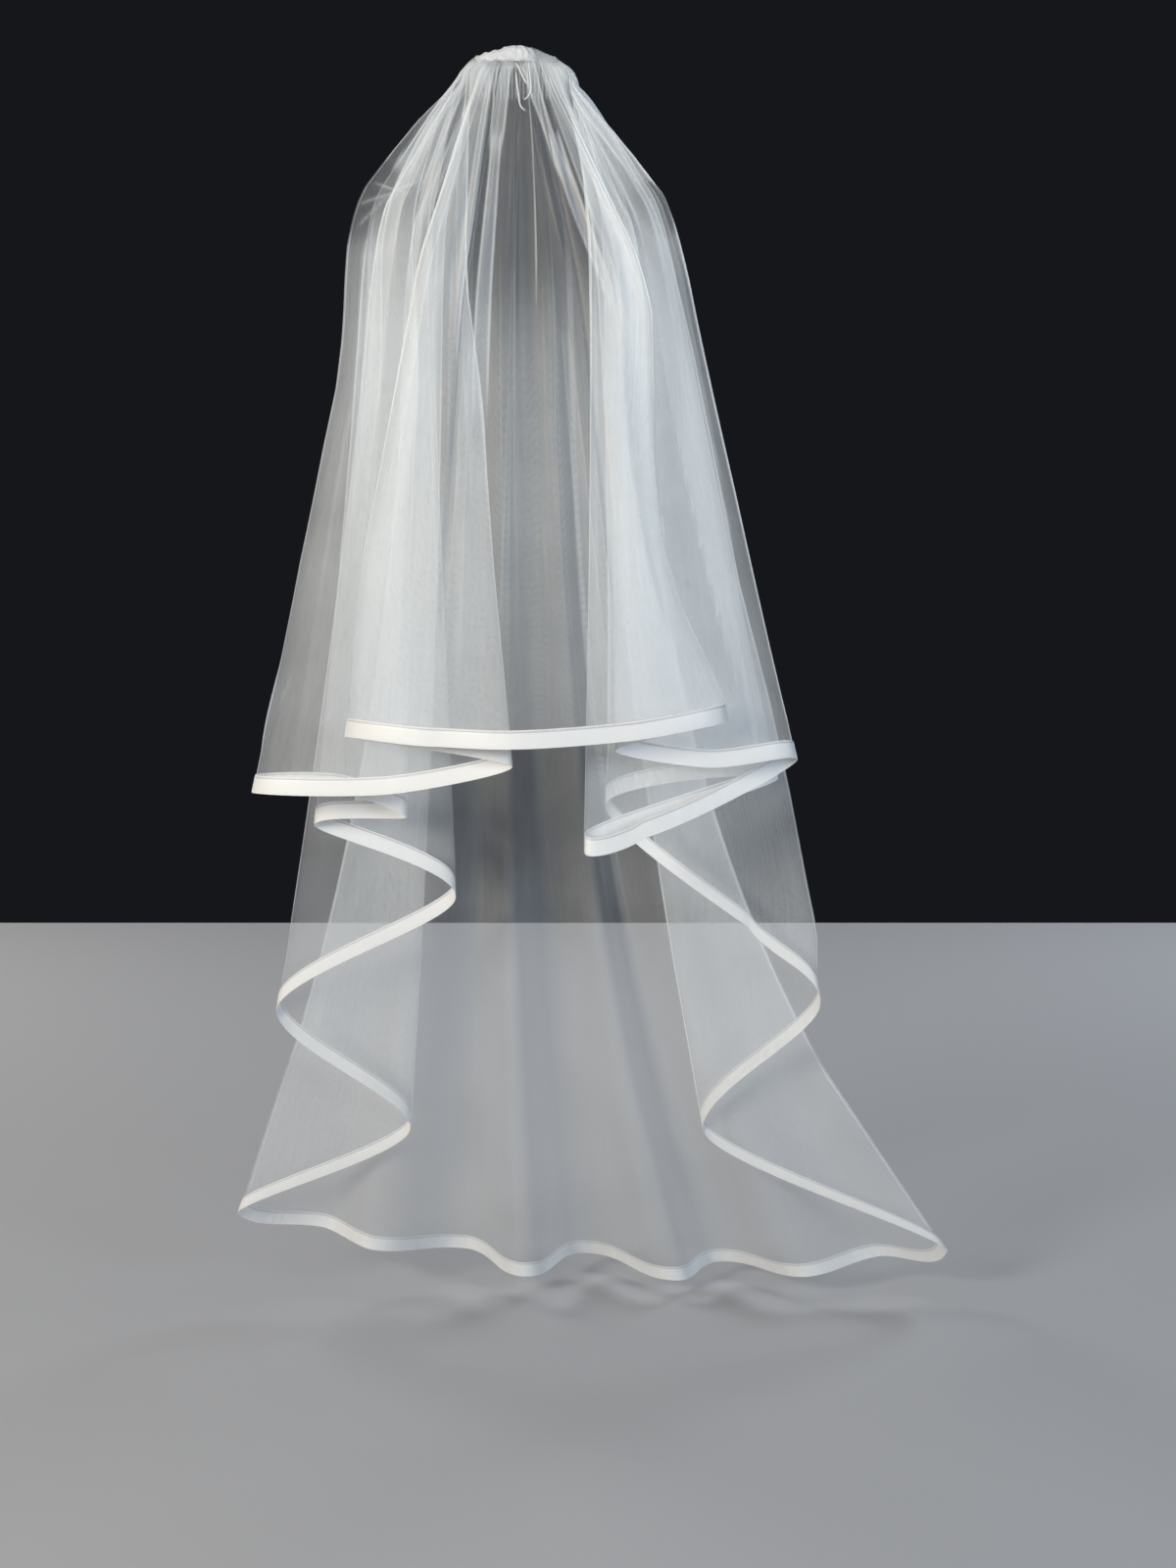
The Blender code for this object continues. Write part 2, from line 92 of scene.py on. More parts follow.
# %% Table of folds
Fold = namedtuple("Fold", "name comb sx sy sz hx hy hz heading radius flare puff columns")
IN_MILLIMETRES = ("sx", "sy", "sz", "hx", "hy", "hz", "radius", "puff")
CORNER_ROWS = [
    ("front_centre", 0, 0, -148, -290, 0, -170, -782, 180, 0, 1, 0, 5),
    ("front_left", 20, -60, -143, -275, -97, -153, -781, 175, 0, 1, 0, 6),
    ("left_corner", 40, -112, -124, -240, -200, -104, -777, 92, 6, 1.1, 0, 7),
    ("left_inner", 54, -56, -98, -235, -4, -112, -811, 90, 7, 1, 0, 5),
    ("left_panel", 62, -118, -72, -200, -148, -82, -848, 168, 0, 1.1, 0, 5),
    ("left_point", 71, -192, -45, -165, -318, -30, -854, 88, 8, 1.3, 2, 5),
    ("left_back_panel", 77, -156, -28, -168, -215, -13, -857, 8, 0, 1.2, 2, 5),
    ("left_second", 83, -122, -12, -170, -135, 0, -890, 90, 8, 1.1, 2, 7),
    ("left_second_point", 95, -178, 18, -170, -250, 38, -906, 90, 9, 1.2, 3, 8),
    ("left_hidden", 108, -104, 50, -180, -80, 92, -1005, 90, 10, 1.2, 4, 8),
    ("left_low_point", 122, -172, 82, -180, -312, 150, -1168, 85, 11, 1.25, 6, 8),
    ("back_left_inner", 137, -92, 108, -195, -150, 262, -1345, 75, 16, 1.6, 8, 8),
    ("back_left_corner", 152, -140, 134, -200, -385, 330, -1490, 60, 18, 2, 10, 5),
    ("back_right_corner", 208, 152, 134, -200, 570, 345, -1548, -70, 14, 2.4, 12, 9),
    ("back_right_inner", 224, 94, 108, -195, 235, 262, -1345, -75, 16, 1.5, 12, 8),
    ("right_low_point", 240, 176, 78, -180, 379, 150, -1158, -85, 9, 0.95, 11, 5),
    ("right_low_panel", 246, 142, 58, -178, 285, 122, -1050, -155, 0, 1, 10, 5),
    ("right_hidden", 253, 106, 40, -175, 105, 78, -888, -90, 9, 1.1, 10, 7),
    ("right_second_point", 266, 178, 4, -170, 314, 20, -845, -90, 9, 1.1, 10, 8),
    ("right_second", 279, 92, -34, -215, 79, -78, -918, -90, 8, 1, 8, 5),
    ("right_second_panel", 285, 128, -46, -195, 152, -74, -902, 8, 0, 1.05, 8, 5),
    ("right_point", 292, 188, -66, -170, 333, -40, -814, -88, 7, 1.12, 8, 5),
    ("right_panel", 300, 152, -86, -200, 225, -84, -816, -165, 0, 1.05, 6, 4),
    ("right_inner", 308, 118, -104, -235, 115, -112, -792, -90, 7, 1, 4, 6),
    ("right_corner", 322, 148, -124, -240, 248, -104, -759, -92, 6, 1.05, 2, 7),
    ("front_right", 340, 74, -143, -275, 129, -153, -775, -175, 0, 1, 0, 6),
]


def fold_of(row):
    """A row of the table, with its millimetres turned into metres."""
    fold = Fold(*row)
    return fold._replace(**{column: getattr(fold, column) / 1000 for column in IN_MILLIMETRES})


CORNER_FOLDS = [fold_of(row) for row in CORNER_ROWS]
print(len(CORNER_FOLDS), "folds by hand")

# %% [markdown]
# The long back has no zigzag. It hangs in soft flutes, crest and valley in turn. A rule places them
# between the two back corners, a little unevenly, as cloth does.

# %% Flutes of the long back
FLUTE_ROWS, FLUTE_COLUMNS = 9, 4
FLUTE_DEPTH, FLUTE_DEPTH_AT_SHOULDER = 0.055, 0.006
PLACE_WANDER, PLACE_RATE = 0.18, 2.4
DEPTH_WANDER, DEPTH_RATE = 0.25, 1.7
BACK_REACH, BACK_DROP, BACK_ROUND = 0.085, 0.075, 0.020
BLENDED = ("comb", "sx", "sy", "sz", "hx", "hy", "hz", "flare", "puff")


def back_flutes(left, right):
    """A row for each crest and valley, a share of the way from the left back corner to the right."""
    rows = []
    for k in range(1, FLUTE_ROWS + 1):
        share = (k + PLACE_WANDER * math.sin(PLACE_RATE * k)) / (FLUTE_ROWS + 1)
        arch = 4 * share * (1 - share)
        crest = arch if k % 2 else -arch
        uneven = 1 + DEPTH_WANDER * math.sin(DEPTH_RATE * k)
        ends = {column: (getattr(left, column), getattr(right, column)) for column in BLENDED}
        between = {column: start + (end - start) * share for column, (start, end) in ends.items()}
        between["sy"] += BACK_ROUND * arch + FLUTE_DEPTH_AT_SHOULDER * crest
        between["hy"] += BACK_REACH * arch + FLUTE_DEPTH * uneven * crest
        between["hz"] -= BACK_DROP * arch
        rows.append(Fold(f"back_flute_{k}", heading=0, radius=0, columns=FLUTE_COLUMNS, **between))
    return rows


corner_names = [fold.name for fold in CORNER_FOLDS]
left_end, right_end = (corner_names.index(f"back_{side}_corner") for side in ("left", "right"))
FLUTES = back_flutes(CORNER_FOLDS[left_end], CORNER_FOLDS[right_end])
FOLDS = CORNER_FOLDS[:right_end] + FLUTES + CORNER_FOLDS[right_end:]
print(len(FOLDS), "fold rows")

# %% [markdown]
# ## The cloth's surface
# A loft between unlike rings is the natural way to make gathered cloth: a small oval at the comb, a
# zigzag ring at shoulder height and a wider one at the hem. Each ring is a closed chain of cubic
# curves that leave every fold along its heading, so a fold is round and a panel is nearly flat.
# There are eight times the columns of the solid wall, in front sixteen times, which leaves room for
# fine gathers. They lie closer together where the edge turns.

# %% Rings of the loft
FINER = 8
FINEST = ("front_centre", "front_left", "front_right")
GATHER_HALF_WIDTH, GATHER_HALF_DEPTH = 0.046, 0.0085
SPRING_HALF_WIDTH, SPRING_HALF_DEPTH = 0.065, 0.024
SPRING_DROP, SPRING_SHARE = 0.018, 0.12
COMB_TOP = 0.004
SHOULDER_TIGHTNESS = 0.55
RIBBON_WIDTH = 0.022
COUNTS = [fold.columns * FINER * (2 if fold.name in FINEST else 1) for fold in FOLDS]
STARTS = np.cumsum([0] + COUNTS)
SHARES = [(1 - np.cos(math.pi * np.arange(count) / count)) / 2 for count in COUNTS]


def unit(vectors):
    return vectors / np.maximum(np.linalg.norm(vectors, axis=-1, keepdims=True), 1e-9)


def hermite(start, end, leave, arrive, v):
    """Cubic from start to end, with the given tangents, at the shares v."""
    v = v[:, None]
    return (
        (2 * v**3 - 3 * v**2 + 1) * start
        + (v**3 - 2 * v**2 + v) * leave
        + (3 * v**2 - 2 * v**3) * end
        + (v**3 - v**2) * arrive
    )


def ring_through(level, radius_scale):
    """A closed ring through the folds: it turns round each with its radius and runs on between them."""
    points = np.array([[getattr(fold, level + axis) for axis in "xyz"] for fold in FOLDS])
    ahead, behind = np.roll(points, -1, axis=0), np.roll(points, 1, axis=0)
    headings = np.radians([fold.heading for fold in FOLDS])
    along = np.stack([np.cos(headings), np.sin(headings)], axis=1)
    spans = np.linalg.norm(ahead[:, :2] - points[:, :2], axis=1)
    rises = (ahead[:, 2] - behind[:, 2]) / 2
    ring = []
    for i, share in enumerate(SHARES):
        tangents = []
        for k in (i, (i + 1) % len(FOLDS)):
            radius = FOLDS[k].radius * radius_scale
            reach = math.sqrt(6 * spans[i] * radius) if radius else spans[i]
            tangents.append(np.append(along[k] * min(reach, spans[i]), rises[k]))
        ring.append(hermite(points[i], ahead[i], *tangents, share))
    return np.concatenate(ring)


def spread(column):
    """One column of the fold table, made a value for each column of cloth by smooth steps."""
    values = [getattr(fold, column) for fold in FOLDS]
    steps = zip(values, values[1:] + values[:1], SHARES)
    return np.concatenate([near + (far - near) * v * v * (3 - 2 * v) for near, far, v in steps])


def comb_angle():
    """How far round the gather each column starts, in radians from the centre front."""
    turns = [fold.comb for fold in FOLDS] + [360.0]
    steps = zip(turns, turns[1:], COUNTS)
    return np.radians(np.concatenate(
        [near + (far - near) * np.arange(count) / count for near, far, count in steps]))


ANGLE = comb_angle()
TURN = np.degrees(ANGLE)
OUTWARD = np.stack([-np.sin(ANGLE), -np.cos(ANGLE), np.zeros(len(ANGLE))], axis=1)


def degrees_from(turn):
    """How far each column lies from a turn round the comb, from -180 to 180 degrees."""
    return (TURN - turn + 180) % 360 - 180


def oval(half_width, half_depth, height):
    """A level oval round the comb's spine, with a point for each column."""
    return OUTWARD * (half_width, half_depth, 0.0) + (0.0, 0.0, height)


COMB_RING = oval(GATHER_HALF_WIDTH, GATHER_HALF_DEPTH, COMB_TOP)
SPRING_RING = oval(SPRING_HALF_WIDTH, SPRING_HALF_DEPTH, COMB_TOP - SPRING_DROP)
SHOULDER_RING, HEM_RING = ring_through("s", SHOULDER_TIGHTNESS), ring_through("h", 1.0)
print(len(ANGLE), "columns round the veil")

# %% [markdown]
# From ring to ring the cloth doesn't run straight. It springs out from the comb, puffs a little at
# the back, bends softly over shoulder and bust, and the long back sweeps out low down. The rows lie
# closest over the shoulder, where small creases have to show.

# %% Levels from comb to hem
SHOULDER_ROUNDING = 0.16
PUFF_PEAK = 9.48
FRONT_SWEEP, BACK_SWEEP = 1.0, 1.8
STRAIGHT_FROM = 1.80
FINE_FROM, FINE_TO = 0.72, 1.08
CROWN_ROWS, FINE_ROWS, FALL_ROWS, CROWN_SPACING = 31, 36, 40, 1.25
FLARE, PUFF = spread("flare"), spread("puff")
SWEEP = FRONT_SWEEP + (BACK_SWEEP - FRONT_SWEEP) * (1 - np.cos(ANGLE)) / 2


def crown_point(share):
    """Comb to shoulder: out to the spring ring, then straight but for the puff that stands out."""
    if share <= SPRING_SHARE:
        return COMB_RING + (SPRING_RING - COMB_RING) * (share / SPRING_SHARE)
    v = (share - SPRING_SHARE) / (1 - SPRING_SHARE)
    bump = PUFF_PEAK * v * (1 - v) ** 3
    lift = (OUTWARD + (0.0, 0.0, 1.0)) * math.sqrt(0.5)
    return SPRING_RING + (SHOULDER_RING - SPRING_RING) * v + lift * (PUFF * bump)[:, None]


def fall_point(share):
    """Shoulder to hem: the drop is even, the spread grows with the flare, and the back sweeps out low."""
    grown = np.stack([share**FLARE, share**SWEEP, np.full(len(FLARE), share)], axis=1)
    return SHOULDER_RING + (HEM_RING - SHOULDER_RING) * grown


def level_point(level):
    """All columns at one level, with the bend over shoulder and bust rounded."""
    start, end = 1 - SHOULDER_ROUNDING, 1 + SHOULDER_ROUNDING
    if level <= start:
        return crown_point(level)
    if level >= end:
        return fall_point(level - 1)
    v = (level - start) / (end - start)
    first, last = crown_point(start), fall_point(end - 1)
    return (1 - v) ** 2 * first + 2 * v * (1 - v) * SHOULDER_RING + v * v * last


LEVELS = np.concatenate([
    FINE_FROM * np.linspace(0.0, 1.0, CROWN_ROWS, endpoint=False) ** CROWN_SPACING,
    np.linspace(FINE_FROM, FINE_TO, FINE_ROWS, endpoint=False),
    np.linspace(FINE_TO, STRAIGHT_FROM, FALL_ROWS),
])
base = np.array([level_point(level) for level in LEVELS])
print("base cloth", base.shape, "points")

# %% [markdown]
# The ribbon is stiffer than the net and keeps the last of the cloth straight, so from there on every
# column runs in a line to the hem. The ribbon's top lies 22 mm up that line, whatever its length.

# %% Hem rows
HEM_STEPS, LOW_ROWS = 4, 8
run = fall_point(1.0) - base[-1]
ribbon_share = 1 - RIBBON_WIDTH / np.linalg.norm(run, axis=1)
low_shares = [ribbon_share * k / LOW_ROWS for k in range(1, LOW_ROWS)]
low_shares += [ribbon_share + (1 - ribbon_share) * k / HEM_STEPS for k in range(HEM_STEPS + 1)]
low_levels = [STRAIGHT_FROM + (2 - STRAIGHT_FROM) * float(share.mean()) for share in low_shares]
ribbon_top = len(base) + LOW_ROWS - 1
base = np.concatenate([base, [base[-1] + run * share[:, None] for share in low_shares]])
all_levels = np.concatenate([LEVELS, low_levels])


def normals_of(grid):
    """Unit normals of the cloth's outer side at every point of the closed grid."""
    ahead = np.roll(grid, -1, axis=1) - grid
    behind = grid - np.roll(grid, 1, axis=1)
    return unit(np.cross(unit(ahead) + unit(behind), np.gradient(grid, axis=0)))


base_normals = normals_of(base)
print(len(base), "rows, the ribbon's top is row", ribbon_top)

# %% [markdown]
# ## Gathers
# At the comb the cloth is drawn to a small part of its width, so it stands in fine gathers. Going
# down they run together into fewer and wider folds and die out above the ribbon. Three families of
# waves, each with its own number and stretch of the fall, give that merging. Their places are
# warped so that no two gathers are alike, and each is much less deep than wide.

# %% Families of gathers
Gathers = namedtuple("Gathers", "count steepness first full fading last phase")
GATHER_FAMILIES = [
    Gathers(168, 0.135, 0.02, 0.10, 0.30, 0.75, 0.4),
    Gathers(83, 0.115, 0.10, 0.30, 0.80, 1.35, 1.9),
    Gathers(41, 0.060, 0.35, 0.80, 1.20, 1.93, 3.1),
]
WARPS = [(5, 0.030, 0.3), (11, 0.017, 2.2), (23, 0.008, 4.0)]
MEAN_SHARE, SWELLS_OVER = 0.65, 7.3


def smooth(low, high, x):
    v = np.clip((x - low) / (high - low), 0.0, 1.0)
    return v * v * (3 - 2 * v)


def warped_angle():
    """The angle round the gathers, with uneven but never doubling-back spacing."""
    return ANGLE + sum(depth * np.sin(count * ANGLE + phase) for count, depth, phase in WARPS)


def ring_steps(grid):
    return np.linalg.norm(np.roll(grid, -1, axis=1) - grid, axis=2)


def ring_along(grid):
    """Each column's distance along its level's ring."""
    return np.concatenate([np.zeros((len(grid), 1)), np.cumsum(ring_steps(grid), axis=1)[:, :-1]], axis=1)


def gathered(grid):
    """How far every point of the grid stands out, in metres, for all families of gathers."""
    straight = np.linalg.norm(np.roll(grid, -FINER, axis=1) - np.roll(grid, FINER, axis=1), axis=2)
    walked = sum(np.roll(ring_steps(grid), k, axis=1) for k in range(-FINER, FINER))
    flatness = (straight / np.maximum(walked, 1e-9)) ** 6
    offset = np.zeros(grid.shape[:2])
    for family in GATHER_FAMILIES:
        present = smooth(family.first, family.full, all_levels)
        present = present * (1 - smooth(family.fading, family.last, all_levels))
        wave = np.sin(family.count * warped_angle() + family.phase)
        swelling = np.sin(family.count / SWELLS_OVER * ANGLE + 2 * family.phase)
        wave = wave * (MEAN_SHARE + (1 - MEAN_SHARE) * swelling)
        width = walked / (2 * FINER) * len(ANGLE) / family.count
        offset += family.steepness * width * present[:, None] * wave[None, :]
    return offset * flatness


gather_offset = gathered(base)
print("deepest gather", round(float(np.abs(gather_offset).max()) * 1000, 1), "mm")

# %% [markdown]
# ## Creases
# A folded and unfolded veil keeps a few soft creases. They are listed one by one, each from one point of
# the cloth to another: turn round the comb in degrees, and level from 0 at the comb over 1 at the
# shoulder to 2 at the hem. Depth is positive for a ridge. line says how plainly the sharp line along
# it shows.

# %% Listed creases
Crease = namedtuple("Crease", "turn level turn_end level_end width depth line")
CREASE_LINE = 0.0017
PANEL_REACH, PANEL_FADE = 4.0, 2.0
FROM_END, END_SPAN = 0.06, 0.88
SETTLES_FROM, SETTLED_AT = 1.90, 1.965
CREASES = [Crease(*row) for row in (
    (68.2, 0.93, 66.3, 0.84, 0.004, 0.002, 0.8),
    (66.8, 0.88, 64.8, 0.73, 0.004, 0.0022, 0.8),
    (66.3, 0.7, 66, 0.85, 0.004, 0.0018, 0.8),
    (67.8, 0.83, 64.9, 0.81, 0.004, 0.0018, 0.8),
    (66.4, 0.86, 67.8, 0.99, 0.004, -0.002, 0.8),
    (70.5, 1.96, 66, 1.86, 0.005, 0.0025, 0.6),
    (70.5, 1.96, 67.8, 1.8, 0.005, -0.0025, 0.6),
    (70.5, 1.96, 69.6, 1.78, 0.005, 0.0025, 0.4),
    (2, 0.3, 5, 0.95, 0.006, 0.003, 0.2),
    (350, 0.25, 344, 0.9, 0.006, 0.0028, 0.2),
    (354, 0.95, 352, 1.6, 0.01, 0.003, 0.2),
    (14, 1.05, 17, 1.75, 0.012, -0.0035, 0.2),
    (333, 1.1, 331, 1.8, 0.011, 0.0035, 0.2),
    (292.5, 0.86, 289, 1.05, 0.006, 0.003, 0.2),
    (291.5, 1.95, 296, 1.84, 0.007, 0.0032, 0.2),
    (240.5, 1.95, 243, 1.8, 0.008, 0.0035, 0.2),
    (122, 1.95, 117, 1.8, 0.008, -0.0035, 0.2),
    (165, 1.2, 170, 1.75, 0.014, 0.0045, 0.2),
    (188, 1.05, 184, 1.6, 0.012, -0.004, 0.2),
    (199, 1.35, 203, 1.9, 0.013, 0.0045, 0.2),
    (156, 1.5, 151, 1.92, 0.012, 0.004, 0.2),
)]


def point_at(grid, turn, level):
    """The point of the grid nearest to a turn round the comb and a level."""
    return grid[int(np.argmin(np.abs(all_levels - level))), int(np.argmin(np.abs(TURN - turn)))]


def creased(grid):
    """Soft ridges and troughs, and the fine line along each. Each keeps to its own panel."""
    offset, lines = np.zeros(grid.shape[:2]), np.zeros(grid.shape[:2])
    for crease in CREASES:
        start = point_at(grid, crease.turn, crease.level)
        line = point_at(grid, crease.turn_end, crease.level_end) - start
        share = np.clip(((grid - start) @ line) / (line @ line), 0.0, 1.0)
        distance = np.linalg.norm(grid - (start + share[..., None] * line), axis=2)
        away = np.abs(degrees_from((crease.turn + crease.turn_end) / 2))
        reach = abs(crease.turn - crease.turn_end) / 2 + PANEL_REACH
        near = 1 - smooth(reach, reach + PANEL_FADE, away)
        ends = np.sin(math.pi * (FROM_END + END_SPAN * share))
        offset += crease.depth * ends * np.exp(-((distance / crease.width) ** 2)) * near
        lines = np.maximum(lines, crease.line * ends * np.exp(-((distance / CREASE_LINE) ** 2)) * near)
    return offset, lines


settled = (1 - smooth(SETTLES_FROM, SETTLED_AT, all_levels))[:, None]
crease_offset, crease_lines = creased(base)
print(len(CREASES), "creases")

# %% [markdown]
# ## Pleats
# Where a gather is pushed together hard, the net folds over itself. Such a pleat starts at the comb
# and dies out on its way down. turn and width are its place and width in degrees at its top,
# turn_end and width_end the same at its lower end. layers is how much net it adds, edge how much
# more lies in its folded rims. Where layers is negative, the net is drawn thin in a gap.
# The pleats in front are listed one by one: they leave the middle open, with one loose strand in it.

# %% Pleats of the front
Pleat = namedtuple("Pleat", "turn width turn_end width_end top bottom layers edge")
HAND_PLACED = [Pleat(*row) for row in (
    (13.5, 20, 12.3, 4.6, 0.04, 0.46, 1.9, 3.4),
    (12.4, 4.8, 10.9, 3, 0.32, 1.3, 1.9, 3.8),
    (18.2, 2.6, 17.8, 1.4, 0.01, 0.25, -5, 1.2),
    (31.4, 13, 28.9, 16.4, 0.03, 1.25, 1.8, 3.2),
    (36, 8, 35, 7, 0.03, 1.45, 1.2, 2.8),
    (27, 3, 23, 2.4, 0.1, 1.05, 1, 2.4),
    (39.5, 3, 40.5, 3.6, 0.05, 1.35, 1.1, 2.6),
    (348.2, 16.5, 332.6, 1, 0.04, 0.62, 1.9, 3.6),
    (335.7, 5, 331.9, 0.3, 0.34, 1.12, 1.9, 3.8),
    (325.5, 12.5, 322.2, 17.3, 0.03, 1.25, 1.8, 3.2),
    (320, 7.5, 317.5, 7, 0.03, 1.5, 1.2, 2.8),
    (328.5, 2.5, 325.8, 2.2, 0.12, 1.1, 1, 2.4),
    (316.5, 2.8, 313.5, 3.4, 0.05, 1.4, 1.1, 2.6),
    (347.5, 0.6, 352.1, 0.3, 0.08, 1.02, 3.6, 0),
    (356.5, 0.7, 358.8, 0.4, 0.3, 1.1, 0.9, 0),
    (359.5, 0.6, 364, 0.4, 0.42, 1.25, 0.7, 0),
    (304, 2, 299, 5.5, 0.4, 1.97, -3.5, 1),
    (293, 1.4, 291, 3.6, 0.45, 1.9, -1, 0.8),
    (310.5, 1, 309, 2.6, 0.15, 1.6, -2.5, 0.8),
    (47.5, 1, 48.5, 2.4, 0.1, 1.6, -2.5, 0.8),
    (58, 1.2, 60, 3.4, 0.3, 1.9, -3, 0.8),
    (346.5, 1.2, 345.6, 3.2, 1.02, 1.93, 0.35, 0.7),
    (14.8, 1.2, 14.2, 3.6, 1.05, 1.93, 0.3, 0.6),
    (331.5, 1, 332, 2.6, 1.1, 1.9, 0.35, 0.6),
    (3, 0.8, 5, 2.4, 1.15, 1.85, 0.22, 0.4),
    (66.5, 0.9, 66.5, 1.1, 0.9, 2.35, 0.4, 1.5),
    (298, 3.4, 298.1, 3.8, 0.9, 2.35, 0.4, 1.4),
    (293.4, 0.2, 293.6, 0.2, 1, 2.35, 0, 1.3),
)]

# %% [markdown]
# The sides and the back are gathered in the same way. A rule with a fixed seed deals their pleats
# out, each a little different. It leaves the front alone, and gathers the middle of the back less.

# %% Pleats of the sides and back
PLEAT_SEED, PLEAT_COUNT = 11, 92
HAND_PLACED_FROM, HAND_PLACED_TO = 314.0, 41.0
BEHIND_FROM, BEHIND_TO, BEHIND_SHARE = 150.0, 212.0, 0.4


def dealt_pleats():
    rng = np.random.default_rng(PLEAT_SEED)
    made = []
    for k in range(PLEAT_COUNT):
        turn = (k + rng.uniform(-0.42, 0.42)) * 360.0 / PLEAT_COUNT
        width = rng.uniform(2.2, 7.0)
        bottom = rng.choice([rng.uniform(0.5, 0.9), rng.uniform(0.9, 1.3), rng.uniform(1.3, 1.85)])
        drift = rng.uniform(-2.5, 2.5)
        layers, edge = rng.uniform(0.3, 1.5), rng.uniform(1.6, 3.6)
        narrowing = rng.uniform(0.30, 0.75)
        if BEHIND_FROM < turn < BEHIND_TO:
            layers, edge = layers * BEHIND_SHARE, edge * BEHIND_SHARE
        if HAND_PLACED_TO < turn < HAND_PLACED_FROM:
            made.append(Pleat(turn, width, turn + drift, width * narrowing, 0.02, bottom, layers, edge))
    return made


PLEATS = HAND_PLACED + dealt_pleats()
print(len(PLEATS), "pleats")

# %% [markdown]
# Each pleat is worked out for every point of the cloth: how much net it adds there and how far it
# stands up. The distance to a rim is taken along the cloth, so that a rim is as fine at the hem as
# at the comb.

# %% Work the pleats out
RIM_HALF, RIM_SOFT = 0.0012, 0.0008
RIM_STANDS_UP, PLEAT_STANDS_UP, MOST_LIFT = 0.0007, 0.0005, 0.0022
BEGUN_AT, ENDING_FROM = 0.06, 0.72
CENTRE_BEND, WIDTH_BEND = 0.7, 0.6


def pleated(grid):
    """The net that all pleats add at every point, and how far they lift it."""
    degree = np.gradient(ring_along(grid), axis=1) / (np.gradient(np.unwrap(ANGLE)) * 180 / math.pi)
    degree[:, 0], degree[:, -1] = degree[:, 1], degree[:, -2]
    added, lifted = np.zeros(grid.shape[:2]), np.zeros(grid.shape[:2])
    for pleat in PLEATS:
        share = np.clip((all_levels - pleat.top) / (pleat.bottom - pleat.top), 0.0, 1.0)
        present = smooth(0.0, BEGUN_AT, share) * (1 - smooth(ENDING_FROM, 1.0, share))
        rows = np.nonzero(present)[0]
        share, present = share[rows, None], present[rows, None]
        centre = pleat.turn + (pleat.turn_end - pleat.turn) * share**CENTRE_BEND
        half = (pleat.width + (pleat.width_end - pleat.width) * share**WIDTH_BEND) / 2
        beyond = (np.abs(degrees_from(centre)) - half) * degree[rows]
        inside = 1 - smooth(-RIM_SOFT, RIM_SOFT, beyond)
        rim = np.exp(-((beyond / RIM_HALF) ** 2))
        added[rows] += (pleat.layers * inside + pleat.edge * rim) * present
        lifted[rows] += (PLEAT_STANDS_UP * inside + RIM_STANDS_UP * rim) * present
    return added, lifted


pleat_layers, pleat_lift = pleated(base)
pleat_lift = np.clip(pleat_lift, 0.0, MOST_LIFT) * smooth(0.05, 0.3, all_levels)[:, None]
print("pleats add up to", round(float(pleat_layers.max()), 1), "layers")

# %% [markdown]
# ## Listed moves
# A worn veil never hangs just as a rule says. Next to the head the net is pushed up into a dome, and
# its top rows rise in a collar over both ends of the head. Whole stretches hang fuller or slacker,
# and the front's two free edges swing to one side at mid fall. Such moves are broad and fade out on
# all sides, so the cloth stays smooth. An Ease moves one stretch some millimetres, level by level.

# %% Listed moves
Dome = namedtuple("Dome", "turn half_turn level half_level height")
DOMES = [Dome(302, 30, 0.12, 0.07, 0.0085), Dome(64, 26, 0.10, 0.10, 0.0030)]
COLLAR_FROM, COLLAR_TO, COLLAR_FALLS, COLLAR_END = 0.006, 0.018, 0.014, 0.048
COLLAR_HEIGHT, COLLAR_END_SHARE, COLLAR_REACH = 0.0148, 0.30, 0.20
LEFT_COLLAR_FROM, LEFT_COLLAR_TO, LEFT_COLLAR_HEIGHT = 0.024, 0.046, 0.006
Ease = namedtuple("Ease", "turn half_turn way levels millimetres")
EASES = [
    Ease(274, 24, (0.78, 0.0, 0.62),
         (0.10, 0.15, 0.20, 0.29, 0.37, 0.47, 0.56, 0.64, 0.75, 0.90, 1.06, 1.15, 1.30, 1.50),
         (0.0, -1.5, -8.5, -9.5, -10.0, -8.0, -6.4, -4.6, -3.8, -4.0, -4.2, -3.0, -1.6, 0.0)),
    Ease(71, 12, (-0.60, 0.0, 0.80), (0.28, 0.45, 0.65, 0.90), (0, 3, 3, 0)),
    Ease(71, 12, (-1, 0, 0), (1.05, 1.15, 1.22, 1.30, 1.40, 1.60), (0, -4, -7, -8, -4, 0)),
    Ease(241, 6, (1, 0, 0), (1.45, 1.60, 1.72, 1.90, 1.98), (0, 9, 12, 12, 0)),
    Ease(322, 4, (-1, 0, 0), (1.08, 1.25, 1.40, 1.55, 1.62, 1.74, 1.84, 1.91, 1.95),
         (0, 13, 26, 34, 34, 27, 14, 4, 0)),
    Ease(40, 4, (-1, 0, 0), (1.08, 1.35, 1.60, 1.76, 1.95), (0, 8, 14, 10, 0)),
]
EASE_FADE = 10


def domed():
    """How far the domes lift the net, outwards."""
    lifted = np.zeros(base.shape[:2])
    for dome in DOMES:
        across = np.exp(-((degrees_from(dome.turn) / dome.half_turn) ** 2))
        down = np.exp(-(((all_levels - dome.level) / dome.half_level) ** 2)) * smooth(0.0, 0.05, all_levels)
        lifted += dome.height * down[:, None] * across
    return lifted


